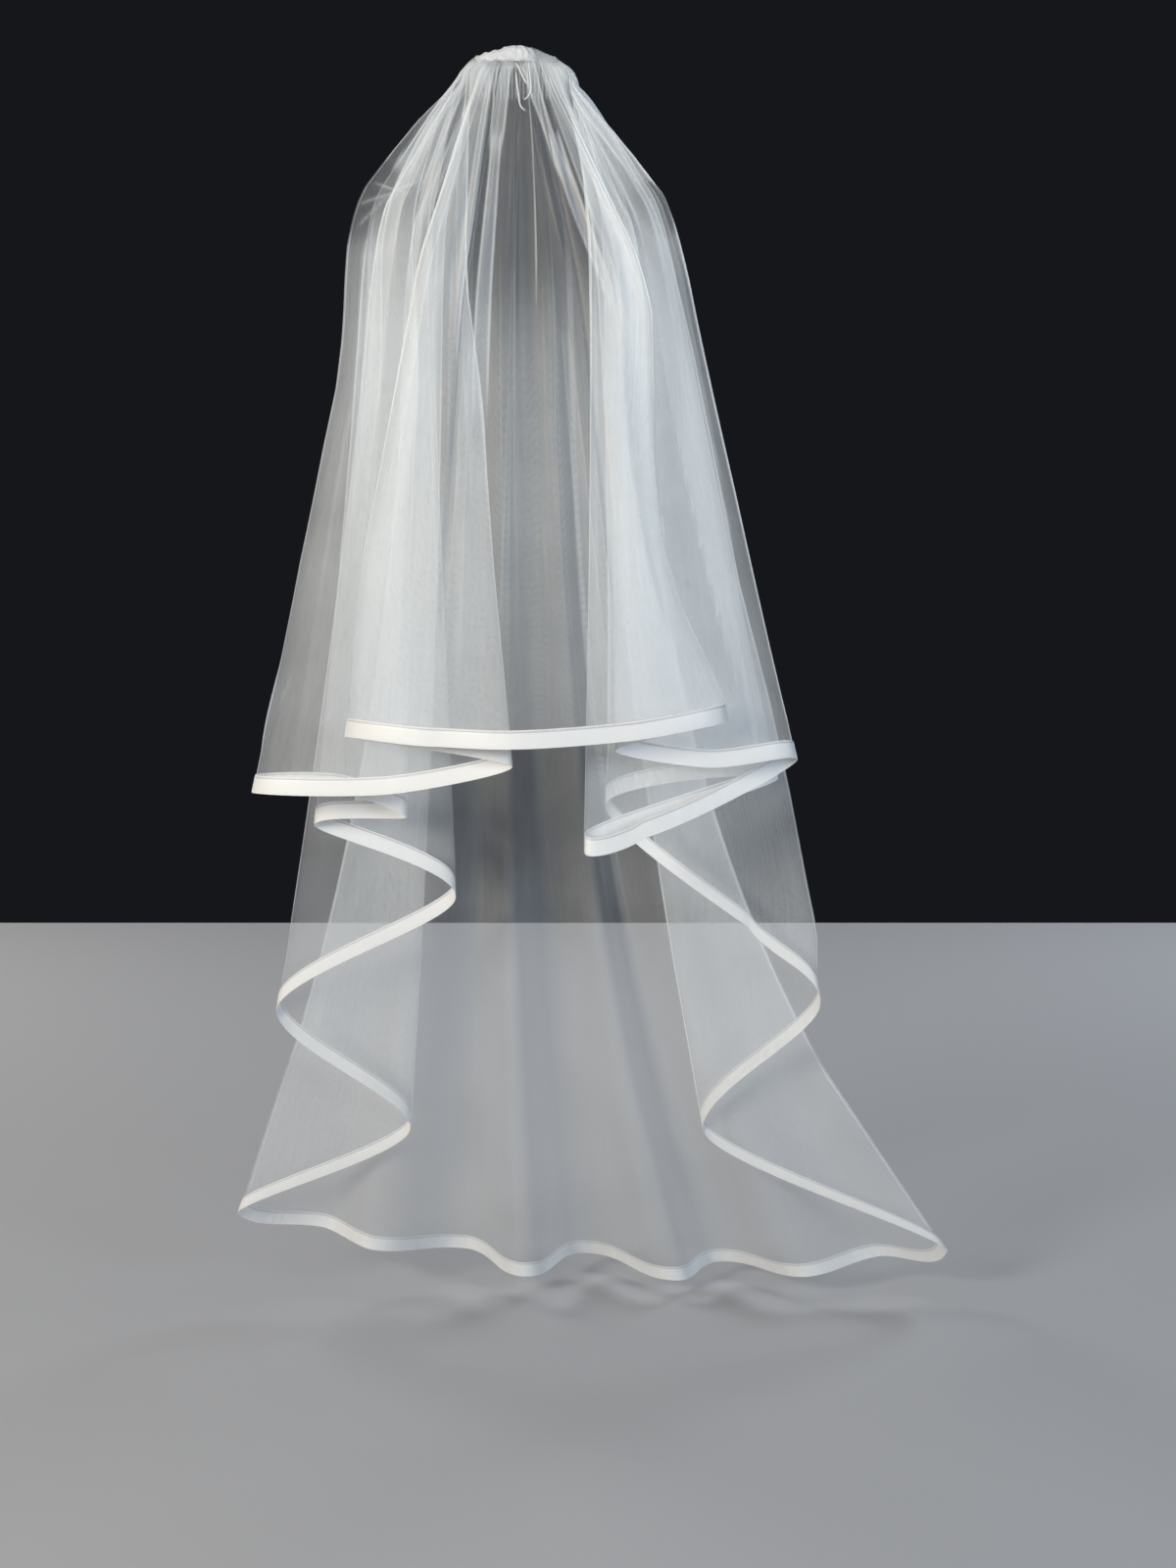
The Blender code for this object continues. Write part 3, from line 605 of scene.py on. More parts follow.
def collar(x):
    """How far the top rows rise over the head's ends: much on the right, a little on the left."""
    rising = smooth(COLLAR_FROM, COLLAR_TO, x)
    falling = 1 - (1 - COLLAR_END_SHARE) * smooth(COLLAR_FALLS, COLLAR_END, x)
    left = LEFT_COLLAR_HEIGHT * smooth(LEFT_COLLAR_FROM, LEFT_COLLAR_TO, -x)
    return (COLLAR_HEIGHT * rising * falling + left) * (1 - smooth(0.0, COLLAR_REACH, all_levels))[:, None]


def eased():
    """The moves of whole stretches."""
    moved = np.zeros(base.shape)
    for ease in EASES:
        across = 1 - smooth(ease.half_turn, ease.half_turn + EASE_FADE, np.abs(degrees_from(ease.turn)))
        down = np.interp(all_levels, ease.levels, ease.millimetres) / 1000
        moved += (down[:, None] * across)[..., None] * ease.way
    return moved


offset = (gather_offset + crease_offset + pleat_lift) * settled + domed()
cloth = base + base_normals * offset[:, :, None] + eased()
cloth[..., 2] += collar(base[..., 0])
cloth_normals = normals_of(cloth)
print("moved by up to", round(float(np.linalg.norm(cloth - base, axis=2).max()) * 1000, 1), "mm")

# %% [markdown]
# ## How dense the net looks
# Net is mostly holes. It looks denser where more threads stand in the way: in a pleat, on the flank of
# a gather, along a sharp fold edge, and next to the comb. That is a property of the cloth's shape, so
# it is worked out once for every point and kept as an attribute. In a few wedges of the crown the
# gathers stand open, and in a few spots, such as over a shoulder, the net is drawn flat and clear.

# %% Layers of net
PLAIN_LAYERS, THINNEST_NET, FLAT_THINS = 0.62, 0.4, 0.3
FOLD_LINE, FOLD_LINE_LAYERS = 0.0020, 6.5
PLAIN_EDGES, PLAIN_EDGE_SHARE = ("left_corner", "left_point", "right_point", "right_corner"), 1.8
COMB_LAYERS, GATHER_LAYERS, SLOPE_LAYERS, CREASE_LAYERS, FALL_LAYERS = 1.3, 1.0, 0.5, 3.4, 1.1
FALL_TURNS, FALL_SHARES = (77, 84, 130, 142), (1, 0.3, 0.3, 1)
PUSHED_TOGETHER, DRAWN_UP, HANGING, NEAR_HEM = (0.02, 0.26), (0.4, 1.5), (0.85, 1.25), (1.5, 2.0)
NEAR_HEM_SHARE, FOLD_LINES_BEGIN = 0.35, (0.10, 0.5)
FINE_COUNT, FINE_PHASE, FINE_SHARE, FINE_UNEVEN = 84, 1.3, 0.6, 61
LEAST_LEAN, SPOT_FULL, SPOT_END = 0.40, 0.75, 1.1
Wedge = namedtuple("Wedge", "turn_at_comb turn_at_shoulder half_at_comb half_at_shoulder")
OPEN_WEDGES = [Wedge(350.8, 350.9, 10, 19.5), Wedge(25.5, 15.4, 1.6, 4.4), Wedge(333, 331.9, 0.9, 0.9)]
WEDGE_BEND, WEDGE_ENDS, WEDGE_FADE = 0.35, 1.15, 0.8
Spot = namedtuple("Spot", "turn level half_turn half_level share")
CLEAR_SPOTS = [
    Spot(70, 0.86, 7, 0.20, 0.95),
    Spot(94, 0.86, 9, 0.20, 0.95),
    Spot(290, 0.90, 3.6, 0.12, 0.95),
    Spot(70, 0.46, 7, 0.30, 0.80),
    Spot(180, 0.55, 34, 0.50, 0.80),
]


def open_share():
    """1 where the gathers lie close, down to 0 in the open wedges of the crown."""
    level = np.clip(all_levels, 0.0, WEDGE_ENDS)[:, None] ** WEDGE_BEND
    closed = np.ones(cloth.shape[:2])
    for wedge in OPEN_WEDGES:
        centre = wedge.turn_at_comb + (wedge.turn_at_shoulder - wedge.turn_at_comb) * level
        half = wedge.half_at_comb + (wedge.half_at_shoulder - wedge.half_at_comb) * level
        closed *= smooth(half, half + WEDGE_FADE, np.abs(degrees_from(centre)))
    return closed


def fold_lines(grid):
    """1 along every sharp fold edge, more on the plainest four, fading within a few millimetres."""
    along = ring_along(grid)
    lines = np.zeros(grid.shape[:2])
    for fold, start in zip(FOLDS, STARTS):
        if fold.radius:
            plain = PLAIN_EDGE_SHARE if fold.name in PLAIN_EDGES else 1.0
            away = along - along[:, [start]]
            lines = np.maximum(lines, plain * np.exp(-((away / FOLD_LINE) ** 2)))
    return lines


def stretched():
    """How much of the pleats is drawn flat: nearly all over a shoulder, some behind, 0 elsewhere."""
    flat = np.zeros(cloth.shape[:2])
    for spot in CLEAR_SPOTS:
        across, down = degrees_from(spot.turn) / spot.half_turn, (all_levels - spot.level) / spot.half_level
        reach = np.hypot(across[None, :], down[:, None])
        flat = np.maximum(flat, spot.share * (1 - smooth(SPOT_FULL, SPOT_END, reach)))
    return flat


def layers_of_net():
    """How many layers of net stand in the way at every point."""
    lean = 1 / np.clip(np.abs((cloth_normals * base_normals).sum(axis=2)), LEAST_LEAN, 1.0)
    fine_gathers = np.maximum(np.sin(FINE_COUNT * warped_angle() + FINE_PHASE), 0.0) ** 3
    fine_gathers = fine_gathers * (FINE_SHARE + (1 - FINE_SHARE) * np.sin(FINE_UNEVEN * ANGLE))
    pushed_together = 1 - smooth(*PUSHED_TOGETHER, all_levels)
    drawn_up = 1 - smooth(*DRAWN_UP, all_levels)
    hanging = smooth(*HANGING, all_levels) - NEAR_HEM_SHARE * smooth(*NEAR_HEM, all_levels)
    fuller = np.interp(TURN, FALL_TURNS, FALL_SHARES)
    more = COMB_LAYERS * pushed_together[:, None] * open_share()
    more += GATHER_LAYERS * drawn_up[:, None] * open_share() * fine_gathers
    more += pleat_layers + SLOPE_LAYERS * (lean - 1) + FALL_LAYERS * hanging[:, None] * fuller
    more += FOLD_LINE_LAYERS * fold_lines(cloth) * smooth(*FOLD_LINES_BEGIN, all_levels)[:, None]
    flat = stretched()
    layers = np.maximum(PLAIN_LAYERS * (1 - FLAT_THINS * flat) + more * (1 - flat), THINNEST_NET)
    return layers + CREASE_LAYERS * crease_lines


net_layers = layers_of_net()
print("layers from", round(float(net_layers.min()), 2), "to", round(float(net_layers.max()), 2))

# %% [markdown]
# ## A small helper for finishes
# Shader maths reads best as plain sums. Value wraps a socket, and a sum of values makes its own Math
# nodes. Finish holds one material and makes every other node from its type, its settings and its
# sockets. The Geometry Nodes further down are made in the same way.

# %% Helper for finishes


def operator(operation, reflected=False):
    """A method that makes a Math node, for value and other or the other way round."""
    def method(value, other):
        return value.finish.math(operation, *((other, value) if reflected else (value, other)))
    return method


class Value:
    """A socket that can stand in a sum."""

    def __init__(self, finish, socket):
        self.finish, self.socket = finish, socket

    __add__ = __radd__ = operator("ADD")
    __mul__ = __rmul__ = operator("MULTIPLY")
    __sub__, __rsub__ = operator("SUBTRACT"), operator("SUBTRACT", reflected=True)
    __pow__, __rpow__ = operator("POWER"), operator("POWER", reflected=True)


def fill(tree, socket, value):
    """Links a value or another node's socket, and sets anything else."""
    if isinstance(value, Value):
        value = value.socket
    if isinstance(value, bpy.types.NodeSocket):
        tree.links.new(value, socket)
    else:
        socket.default_value = value


def add_node(tree, kind, settings=(), sockets=()):
    """A node of that type, with its settings made first and then its sockets."""
    made = tree.nodes.new(kind)
    for name, value in dict(settings).items():
        setattr(made, name, value)
    for name, value in dict(sockets).items():
        fill(tree, made.inputs[name], value)
    return made


class Finish:
    """One material, its Principled shader and the nodes that feed it."""

    def __init__(self, name, **constants):
        self.material = bpy.data.materials.new(name)
        self.material.use_nodes = True
        self.tree = self.material.node_tree
        for socket, value in constants.items():
            self.feed(socket.replace("_", " "), value)

    def feed(self, socket, value):
        fill(self.tree, self.tree.nodes["Principled BSDF"].inputs[socket], value)

    def node(self, kind, settings=(), sockets=(), output=0):
        """A new node's output, as a value."""
        return Value(self, add_node(self.tree, kind, settings, sockets).outputs[output])

    def math(self, operation, *terms, clamp=False):
        settings = {"operation": operation, "use_clamp": clamp}
        return self.node("ShaderNodeMath", settings, dict(enumerate(terms)))

    def blend(self, share, first, second):
        """A colour between two, by a share from 0 to 1."""
        return self.node("ShaderNodeMix", {"data_type": "RGBA"}, {0: share, 6: first, 7: second}, 2)

    def noise(self, scale, detail, place=None):
        """Noise over the piece itself or, where a place is given, over that."""
        place = place or self.node("ShaderNodeTexCoord", output="Object")
        return self.node("ShaderNodeTexNoise", (), {"Vector": place, "Scale": scale, "Detail": detail})

    def mottle(self, scale, detail, dark, light):
        """Noise that also mixes the base colour between two."""
        noise = self.noise(scale, detail)
        self.feed("Base Color", self.blend(noise, dark, light))
        return noise

    def attribute(self, name):
        return self.node("ShaderNodeAttribute", {"attribute_name": name}, output="Fac")

    def uv(self):
        """The piece's own map, in metres along and down the cloth."""
        place = self.node("ShaderNodeUVMap")
        return [self.node("ShaderNodeSeparateXYZ", (), {0: place}, axis) for axis in ("X", "Y")]

    def vector(self, x, y):
        return self.node("ShaderNodeCombineXYZ", (), {0: x, 1: y})

    def bump(self, height, distance, strength):
        sockets = {"Height": height, "Distance": distance, "Strength": strength}
        self.feed("Normal", self.node("ShaderNodeBump", (), sockets))


# %% [markdown]
# ## Tulle
# Bobbin net has six-sided holes. Three waves, 120 degrees apart, add up to a lattice of peaks: the
# peaks are the holes and what lies between them is thread. A thread hides what is behind it and a
# hole hardly does. Hanging net is strained unevenly down its length, which shows as faint long
# streaks. The net_layers attribute then multiplies the thicknesses: what n layers let through is
# what one lets through to the power n.

# %% Tulle finish
HOLE_PITCH = 0.0013
HOLE_COVER, THREAD_COVER, MOST_COVER = 0.05, 0.27, 0.97
THREAD_SLOPE, THREAD_LEVEL = -0.42, 0.32
CLOUDY, STRAINED, EVEN = 0.5, 0.26, 0.615
CLOUD_SCALE, STREAKS_ACROSS, STREAKS_DOWN = 9.0, 150.0, 5.0


def tulle_finish():
    finish = Finish("tulle", Roughness=0.62, Sheen_Weight=0.25, Sheen_Roughness=0.45, Specular_IOR_Level=0.3)
    across, down = finish.uv()
    turn = math.tau / HOLE_PITCH
    slant, fall = across * (turn * math.sqrt(0.75)), down * (turn / 2)
    first, second, third = (finish.math("COSINE", wave) for wave in (down * turn, slant + fall, slant - fall))
    thread = finish.math("MULTIPLY_ADD", first + second + third, THREAD_SLOPE, THREAD_LEVEL, clamp=True)
    streaks = finish.noise(1.0, 3.0, finish.vector(across * STREAKS_ACROSS, down * STREAKS_DOWN))
    uneven = finish.noise(CLOUD_SCALE, 3.0) * CLOUDY + streaks * STRAINED + EVEN
    single = (thread * (THREAD_COVER - HOLE_COVER) + HOLE_COVER) * uneven
    cover = 1 - (1 - single) ** finish.attribute("net_layers")
    finish.feed("Alpha", finish.math("MINIMUM", cover, MOST_COVER))
    finish.mottle(3.0, 1.0, (0.875, 0.91, 0.945, 1.0), (0.925, 0.94, 0.935, 1.0))
    return finish.material


TULLE = tulle_finish()
print("tulle nodes", len(TULLE.node_tree.nodes))

# %% [markdown]
# ## Sheets of tulle
# The oval is one piece of cloth, shown as four stretches that each hang their own way: the short
# front, a zigzag down each side, and the long back. The frame parts each of them at shoulder height
# into a crown and a fall. Here one sheet runs through both: a plain grid of faces with a map in
# metres and a thickness for each point.

# %% Stretches
ROOT = "root"
Stretch = namedtuple("Stretch", "side first last crown fall")
STRETCHES = [
    Stretch("front", "right_corner", "left_corner", "front_crown", "front_fall"),
    Stretch("left", "left_corner", "left_low_point", "left_crown", "left_cascade"),
    Stretch("back", "left_low_point", "back_right_inner", "back_crown", "back_fall"),
    Stretch("right", "back_right_inner", "right_corner", "right_crown", "right_cascade"),
]
MIDDLES = {fold.name: start + fold.columns // 2 * (count // fold.columns)
           for fold, start, count in zip(FOLDS, STARTS, COUNTS)}
hem_length = float(ring_steps(cloth[-1:]).sum())
hem_along = ring_along(cloth[-1:])[0]
drop_steps = np.linalg.norm(np.diff(cloth, axis=0), axis=2)
cloth_down = np.concatenate([np.zeros((1, len(ANGLE))), np.cumsum(drop_steps, axis=0)])


def strip_of(stretch):
    """A stretch, its columns from the middle of one panel to another's, and their places on the hem."""
    begin, end = MIDDLES[stretch.first], MIDDLES[stretch.last]
    columns = np.arange(begin, (end if end > begin else end + len(ANGLE)) + 1)
    wrapped = columns % len(ANGLE)
    return stretch, wrapped, hem_along[wrapped] + hem_length * (columns // len(ANGLE))


def grid_faces(rows, columns, closed_rows=False, closed_columns=False, inside_out=False):
    """Quads of a grid of points. A closed direction joins its last row or column to its first."""
    faces = []
    for i in range(rows if closed_rows else rows - 1):
        for j in range(columns if closed_columns else columns - 1):
            here, below, beside = i * columns, (i + 1) % rows * columns, (j + 1) % columns
            quad = (here + j, here + beside, below + beside, below + j)
            faces.append(quad[:1] + quad[:0:-1] if inside_out else quad)
    return faces


def placed(name, mesh, material):
    """The mesh as an object at the origin, in one finish, that rides on the frame."""
    mesh.materials.append(material)
    piece = add_object(name, mesh)
    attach(piece, ROOT)
    return piece


def new_piece(name, points, faces, material, smooth_angle=None):
    mesh = bpy.data.meshes.new(name)
    mesh.from_pydata(points.reshape(-1, 3).tolist(), [], faces)
    mesh.shade_smooth()
    if smooth_angle:
        mesh.set_sharp_from_angle(angle=math.radians(smooth_angle))
    return placed(name, mesh, material)


def map_points(piece, across, down):
    """Writes a map in metres from a value for each point."""
    corners = np.empty(len(piece.data.loops), np.int32)
    piece.data.loops.foreach_get("vertex_index", corners)
    both = np.stack([np.ravel(values)[corners] for values in np.broadcast_arrays(across, down)], axis=1)
    piece.data.uv_layers.new(name="UVMap").data.foreach_set("uv", both.astype(np.float32).ravel())


def give_attribute(piece, name, values):
    made = piece.data.attributes.new(name, "FLOAT", "POINT")
    made.data.foreach_set("value", np.ravel(values).astype(np.float32))


STRIPS = [strip_of(stretch) for stretch in STRETCHES]
sheets = {}
for stretch, columns, along in STRIPS:
    strip = cloth[:, columns]
    sheet = new_piece(stretch.side + "_net", strip, grid_faces(*strip.shape[:2]), TULLE)
    map_points(sheet, along, cloth_down[:, columns])
    give_attribute(sheet, "net_layers", net_layers[:, columns])
    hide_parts(stretch.crown, stretch.fall)
    sheets[stretch.side] = sheet
    print(sheet.name, len(sheet.data.polygons) * 2, "triangles")

# %% [markdown]
# ## Satin ribbon
# The edge is bound with single-faced satin ribbon, 22 mm wide. Satin floats its warp threads along
# the ribbon, so it has a long, soft highlight and very fine lines along its length, and a narrow
# woven selvedge on both edges. Each stitch sinks into a small dimple, bumped in and darkened with
# painted shade, and a fainter line of painted shade runs along the whole row of stitches.

# %% Ribbon finish
RIB_PITCH, SELVEDGE = 0.0011, 0.0013
LINES_ALONG, LINES_ACROSS = 60.0, 2600.0
STITCH_PITCH, STITCH_INSET, DIMPLE_HALF = 0.0035, 0.0024, 0.0009


def ribbon_finish():
    finish = Finish("satin_ribbon", Sheen_Weight=0.12, Coat_Weight=0.12, Coat_Roughness=0.35,
                    Specular_IOR_Level=0.6)
    along, width = finish.uv()
    lines = finish.noise(1.0, 2.0, finish.vector(along * LINES_ALONG, width * LINES_ACROSS))
    picks = finish.math("SINE", along * (math.tau / RIB_PITCH))
    woven = finish.math("LESS_THAN", finish.math("MINIMUM", width, RIBBON_WIDTH - width), SELVEDGE)
    from_row = (width - STITCH_INSET) * (1 / DIMPLE_HALF)
    dimple = math.e ** (from_row * from_row * -1.0)
    # Painted shade: how far the base colour goes to dark grey, most in each stitch dimple and a little all
    # along the row.
    painted_dimple_shade = dimple * (finish.math("SINE", along * (math.tau / STITCH_PITCH)) * 0.30 + 0.62)
    satin = finish.blend(finish.noise(14.0, 2.0), (0.855, 0.85, 0.84, 1.0), (0.905, 0.90, 0.885, 1.0))
    finish.feed("Base Color", finish.blend(painted_dimple_shade, satin, (0.24, 0.24, 0.25, 1.0)))
    finish.feed("Roughness", lines * 0.12 + 0.34 + woven * 0.25)
    finish.bump(lines * 0.6 + picks * (0.15 + woven * 0.8) - dimple * 1.5, 0.00012, 0.5)
    return finish.material


RIBBON = ribbon_finish()

# %% [markdown]
# The ribbon itself is a thin closed strip: rows of points across its width on the outer face and on
# the back. Sewing draws it in a little, so it puckers faintly between the stitches.

# %% Ribbon pieces
WALL_HALF, SEAM_GAP, RIBBON_THICKNESS = 0.0005, 0.0003, 0.0006
RIBBON_ROWS = 8
PUCKER, PUCKER_PITCH = 0.00035, 0.021


def ribbon_plane(columns):
    """The ribbon's top and bottom line on the cloth, and the way out from both."""
    out = unit(cloth_normals[ribbon_top, columns] + cloth_normals[-1, columns])
    return cloth[ribbon_top, columns], cloth[-1, columns], out


def ribbon_strip(columns, along):
    """Points across the ribbon, top edge first: the outer face down, then the back face up."""
    top, bottom, out = ribbon_plane(columns)
    pucker = np.sin(math.tau * along / PUCKER_PITCH + 1.7 * np.sin(along * 9.0))
    outer, back = [], []
    for k in range(RIBBON_ROWS):
        share = k / (RIBBON_ROWS - 1)
        belly = math.sin(math.pi * share)
        middle = top + (bottom - top) * share
        lift = WALL_HALF + SEAM_GAP + PUCKER * (0.5 + 0.5 * pucker) * (1 - share) * belly
        rounded = RIBBON_THICKNESS * (0.55 + 0.45 * min(1.0, 4 * belly))
        outer.append(middle + out * (lift + rounded)[:, None])
        back.append(middle + out * lift[:, None])
    return np.array(outer + back[::-1])


for stretch, columns, along in STRIPS:
    points = ribbon_strip(columns, along)
    count = len(columns)
    cut_end = [row * count for row in range(len(points))]
    faces = grid_faces(len(points), count, closed_rows=True)
    faces += [cut_end, [point + count - 1 for point in reversed(cut_end)]]
    ribbon = new_piece(stretch.side + "_satin_ribbon", points, faces, RIBBON, 50)
    width = np.linspace(0, RIBBON_WIDTH, RIBBON_ROWS)
    map_points(ribbon, along, np.concatenate([width, width[::-1]])[:, None])
    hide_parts(stretch.side + "_ribbon")
    print(ribbon.name, sum(len(p.vertices) - 2 for p in ribbon.data.polygons), "triangles")

# %% [markdown]
# ## Stitches
# One row of lockstitch runs just inside the ribbon's upper edge, about eight stitches to the inch.
# A stitch is the same small thing hundreds of times along a path, which is what Geometry Nodes are
# for: resample the path, set a stitch on each point, turn it along the path, make it real.

# %% Stitch tree
STITCH_LENGTH, STITCH_RADIUS = 0.0022, 0.00026
INPUT_KINDS = {"Lean": "Vector", "Seed": "Int", "Thread": "Material"}


def thread_finish():
    finish = Finish("sewing_thread", Roughness=0.55, Sheen_Weight=0.2)
    # The thread's grey is partly its own tone and partly painted shade, darkened so each stitch reads like
    # the shaded hole it sinks into.
    finish.mottle(900.0, 1.0, (0.62, 0.62, 0.63, 1.0), (0.80, 0.80, 0.79, 1.0))
    return finish.material


class RowTree:
    """A Geometry Nodes tree that sets the same thing at every Pitch along the path it is given."""

    def __init__(self, name, *labels):
        self.tree = bpy.data.node_groups.new(name, "GeometryNodeTree")
        sockets = self.tree.interface
        sockets.new_socket("Geometry", in_out="INPUT", socket_type="NodeSocketGeometry")
        sockets.new_socket("Geometry", in_out="OUTPUT", socket_type="NodeSocketGeometry")
        for label in labels:
            kind = "NodeSocket" + INPUT_KINDS.get(label, "Float")
            sockets.new_socket(label, in_out="INPUT", socket_type=kind)
        self.given = self.tree.nodes.new("NodeGroupInput").outputs

    def node(self, kind, settings=(), sockets=(), output=0):
        return add_node(self.tree, "GeometryNode" + kind, settings, sockets).outputs[output]

    def function(self, kind, settings=(), sockets=(), output=0):
        return add_node(self.tree, "FunctionNode" + kind, settings, sockets).outputs[output]

    def done(self, **sockets):
        """Resamples the path, sets the instance on each point, makes it real and finishes it."""
        curve = self.node("MeshToCurve", (), {"Mesh": self.given["Geometry"]})
        spaced = {"Curve": curve, "Length": self.given["Pitch"]}
        path = self.node("ResampleCurve", {"mode": "LENGTH"}, spaced)
        row = self.node("InstanceOnPoints", (), {"Points": path, **sockets})
        real = self.node("RealizeInstances", (), {"Geometry": row})
        sewn = self.node("SetMaterial", (), {"Geometry": real, "Material": self.given["Thread"]})
        self.tree.links.new(sewn, self.tree.nodes.new("NodeGroupOutput").inputs[0])
        return self.tree


def stitch_tree():
    row = RowTree("stitch_row", "Pitch", "Length", "Radius", "Seed", "Thread")
    stitch = row.node("MeshCylinder", {"fill_type": "TRIANGLE_FAN"}, {
        "Vertices": 6, "Side Segments": 1, "Radius": row.given["Radius"], "Depth": row.given["Length"]})
    turn = row.function("AlignRotationToVector", {"axis": "Z"}, {"Vector": row.node("InputTangent")})
    wobble = row.function("RandomValue", {"data_type": "FLOAT"}, {
        2: 0.85, 3: 1.12, "Seed": row.given["Seed"]}, 1)
    return row.done(Instance=stitch, Rotation=turn, Scale=wobble)


THREAD = thread_finish()
STITCHES = stitch_tree()

# %% [markdown]
# The modifier's inputs are set by their identifiers. The evaluated result then becomes a plain mesh
# and the modifier is gone before the piece rides on the frame.

# %% Stitch rows


def grown(name, points, tree, values, slot):
    """What a geometry tree makes along a chain of points, as a plain piece of thread."""
    chain = bpy.data.meshes.new(name + "_path")
    chain.from_pydata(np.asarray(points).tolist(), [(i, i + 1) for i in range(len(points) - 1)], [])
    source = add_object(chain.name, chain)
    modifier = source.modifiers.new(tree.name, "NODES")
    modifier.node_group = tree
    values = {**values, "Thread": THREAD}
    for item in tree.interface.items_tree:
        if item.in_out == "INPUT" and item.name in values:
            modifier[item.identifier] = values[item.name]
    evaluated = source.evaluated_get(bpy.context.evaluated_depsgraph_get())
    mesh = bpy.data.meshes.new_from_object(evaluated)
    bpy.data.objects.remove(source, do_unlink=True)
    mesh.name = name
    mesh.materials.clear()
    piece = placed(name, mesh, THREAD)
    print(name, len(mesh.polygons), "faces")
    return piece


for seed, (stretch, columns, _) in enumerate(STRIPS):
    top, bottom, out = ribbon_plane(columns)
    line = top + (bottom - top) * (STITCH_INSET / RIBBON_WIDTH)
    line = line + out * (WALL_HALF + SEAM_GAP + RIBBON_THICKNESS + STITCH_RADIUS * 0.3)
    values = {"Pitch": STITCH_PITCH, "Length": STITCH_LENGTH, "Radius": STITCH_RADIUS, "Seed": seed}
    grown(stretch.side + "_stitches", line, STITCHES, values, "ribbon")

# %% [markdown]
# Each stretch is a sector of the oval that the veil was cut from. The loop below only looks its sheet
# up again and does nothing more with it.

for stretch, columns, along in STRIPS:
    sheet = sheets[stretch.side]

# %% [markdown]
# ## Gathered head
# Above the comb the gathers are pushed together and stitched down into a small lumpy roll. It is an
# oval ring of uneven ruches over a rounded body. Its height along the comb is listed point by point:
# highest in the middle, lumpy to the left, and running out to the right, where it thins and the
# veil's own net domes over it.

# %% Gathered head
HEAD_PLACES = [-43, -38, -35, -31, -27, -24, -20, -17, -13, -8, 0, 6, 10, 14, 19, 25, 33, 43]
HEAD_HEIGHTS = [0.38, 0.50, 0.58, 0.53, 0.68, 0.71, 0.66, 0.76, 0.89, 0.94, 0.98, 0.98, 0.95, 0.86, 0.76,
                0.60, 0.42, 0.26]
HEAD_SAG = 0.0008
HEAD_END_ROOM, HEAD_FRONT_ROOM = 0.0022, 0.0016
THINS_FROM, THINS_TO, THINNEST, FULL = 0.009, 0.028, 0.25, 0.97
RUCHE_COUNT, STEPS_PER_RUCHE, HEAD_RINGS = 26, 12, 16
RUCHE_SWELL, RUCHE_POINT, RUCHE_WANDERS = 0.0020, 0.7, [(0.05, 5, 0.6), (0.03, 9, 2.0)]
SIDE_ROUNDING, TOP_ROUNDING, LEANS_OUT = 0.4, 0.8, 0.35
LUMP, LUMPS_ALONG, LUMPS_ACROSS, SAGS_ALONG = 0.05, 640, 500, 420
band_low, band_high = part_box("gather_band")


def head_finish():
    finish = Finish("ruched_tulle", Roughness=0.7, Sheen_Weight=0.3, Sheen_Roughness=0.4)
    # Painted shade: the noise that raises the lumps also turns the colour darker grey in the low places
    # between them.
    lumps_and_crevice_shade = finish.mottle(260.0, 4.0, (0.66, 0.67, 0.69, 1.0), (0.92, 0.91, 0.90, 1.0))
    threads = finish.noise(1500.0, 2.0)
    finish.feed("Alpha", finish.attribute("thickness") * (threads * 0.4 + 0.8))
    finish.bump(lumps_and_crevice_shade + threads * 0.35, 0.0016, 1.0)
    return finish.material


def gathered_head():
    """Rings of points, from the foot of the roll to its top."""
    steps = RUCHE_COUNT * STEPS_PER_RUCHE
    angle = np.arange(steps) * math.tau / steps
    uneven = angle + sum(depth * np.sin(count * angle + phase) for depth, count, phase in RUCHE_WANDERS)
    ruche = np.abs(np.sin(uneven * RUCHE_COUNT / 2)) ** RUCHE_POINT
    side_way, front_way = np.sin(angle), np.cos(angle)
    width, depth = band_high.x - HEAD_END_ROOM, band_high.y - HEAD_FRONT_ROOM
    rings = []
    for k in range(HEAD_RINGS + 1):
        share = k / HEAD_RINGS
        turn = share * math.pi / 2
        open_still = 1.0 if k < HEAD_RINGS else 0.0
        inward = math.cos(turn) ** SIDE_ROUNDING * open_still
        rolled = 0.90 + 0.10 * math.sin(math.pi * min(1.0, 0.12 + share))
        x = -width * side_way * (inward * 0.72 + 0.28 * (1 - share**3)) * rolled * open_still
        y = -depth * front_way * inward * rolled
        lump = np.interp(x * 1000, HEAD_PLACES, HEAD_HEIGHTS)
        lump = lump + LUMP * np.sin(x * LUMPS_ALONG + y * LUMPS_ACROSS) * (1 - share**4)
        sagging = HEAD_SAG * (1 + np.sin(x * SAGS_ALONG + 1.0)) * (1 - share) ** 4
        z = band_low.z + (band_high.z - band_low.z) * lump * math.sin(turn) ** TOP_ROUNDING - sagging
        swell = RUCHE_SWELL * (ruche - 0.5) * math.sin(math.pi * min(share * 1.1 + 0.1, 1.0))
        out = np.stack([-side_way, -front_way, np.full(steps, LEANS_OUT * share)], axis=1)
        rings.append(np.stack([x, y, z], axis=1) + out * swell[:, None])
    return np.array(rings)


head_rings = gathered_head()
head_faces = grid_faces(*head_rings.shape[:2], closed_columns=True, inside_out=True)
head_faces.append(tuple(range(head_rings.shape[1])))
head = new_piece("ruched_head", head_rings, head_faces, head_finish())
thinning = smooth(THINS_FROM, THINS_TO, head_rings[..., 0])
give_attribute(head, "thickness", FULL - (FULL - THINNEST) * thinning)
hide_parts("gather_band")
print("ruched head", len(head.data.polygons), "faces")

# %% [markdown]
# ## Comb
# The comb is one clear moulding, a spine with a row of teeth, and its solid already has that shape. So
# the frame's own piece stays and only gets its finish: clear plastic with faint flow marks.

# %% Comb finish


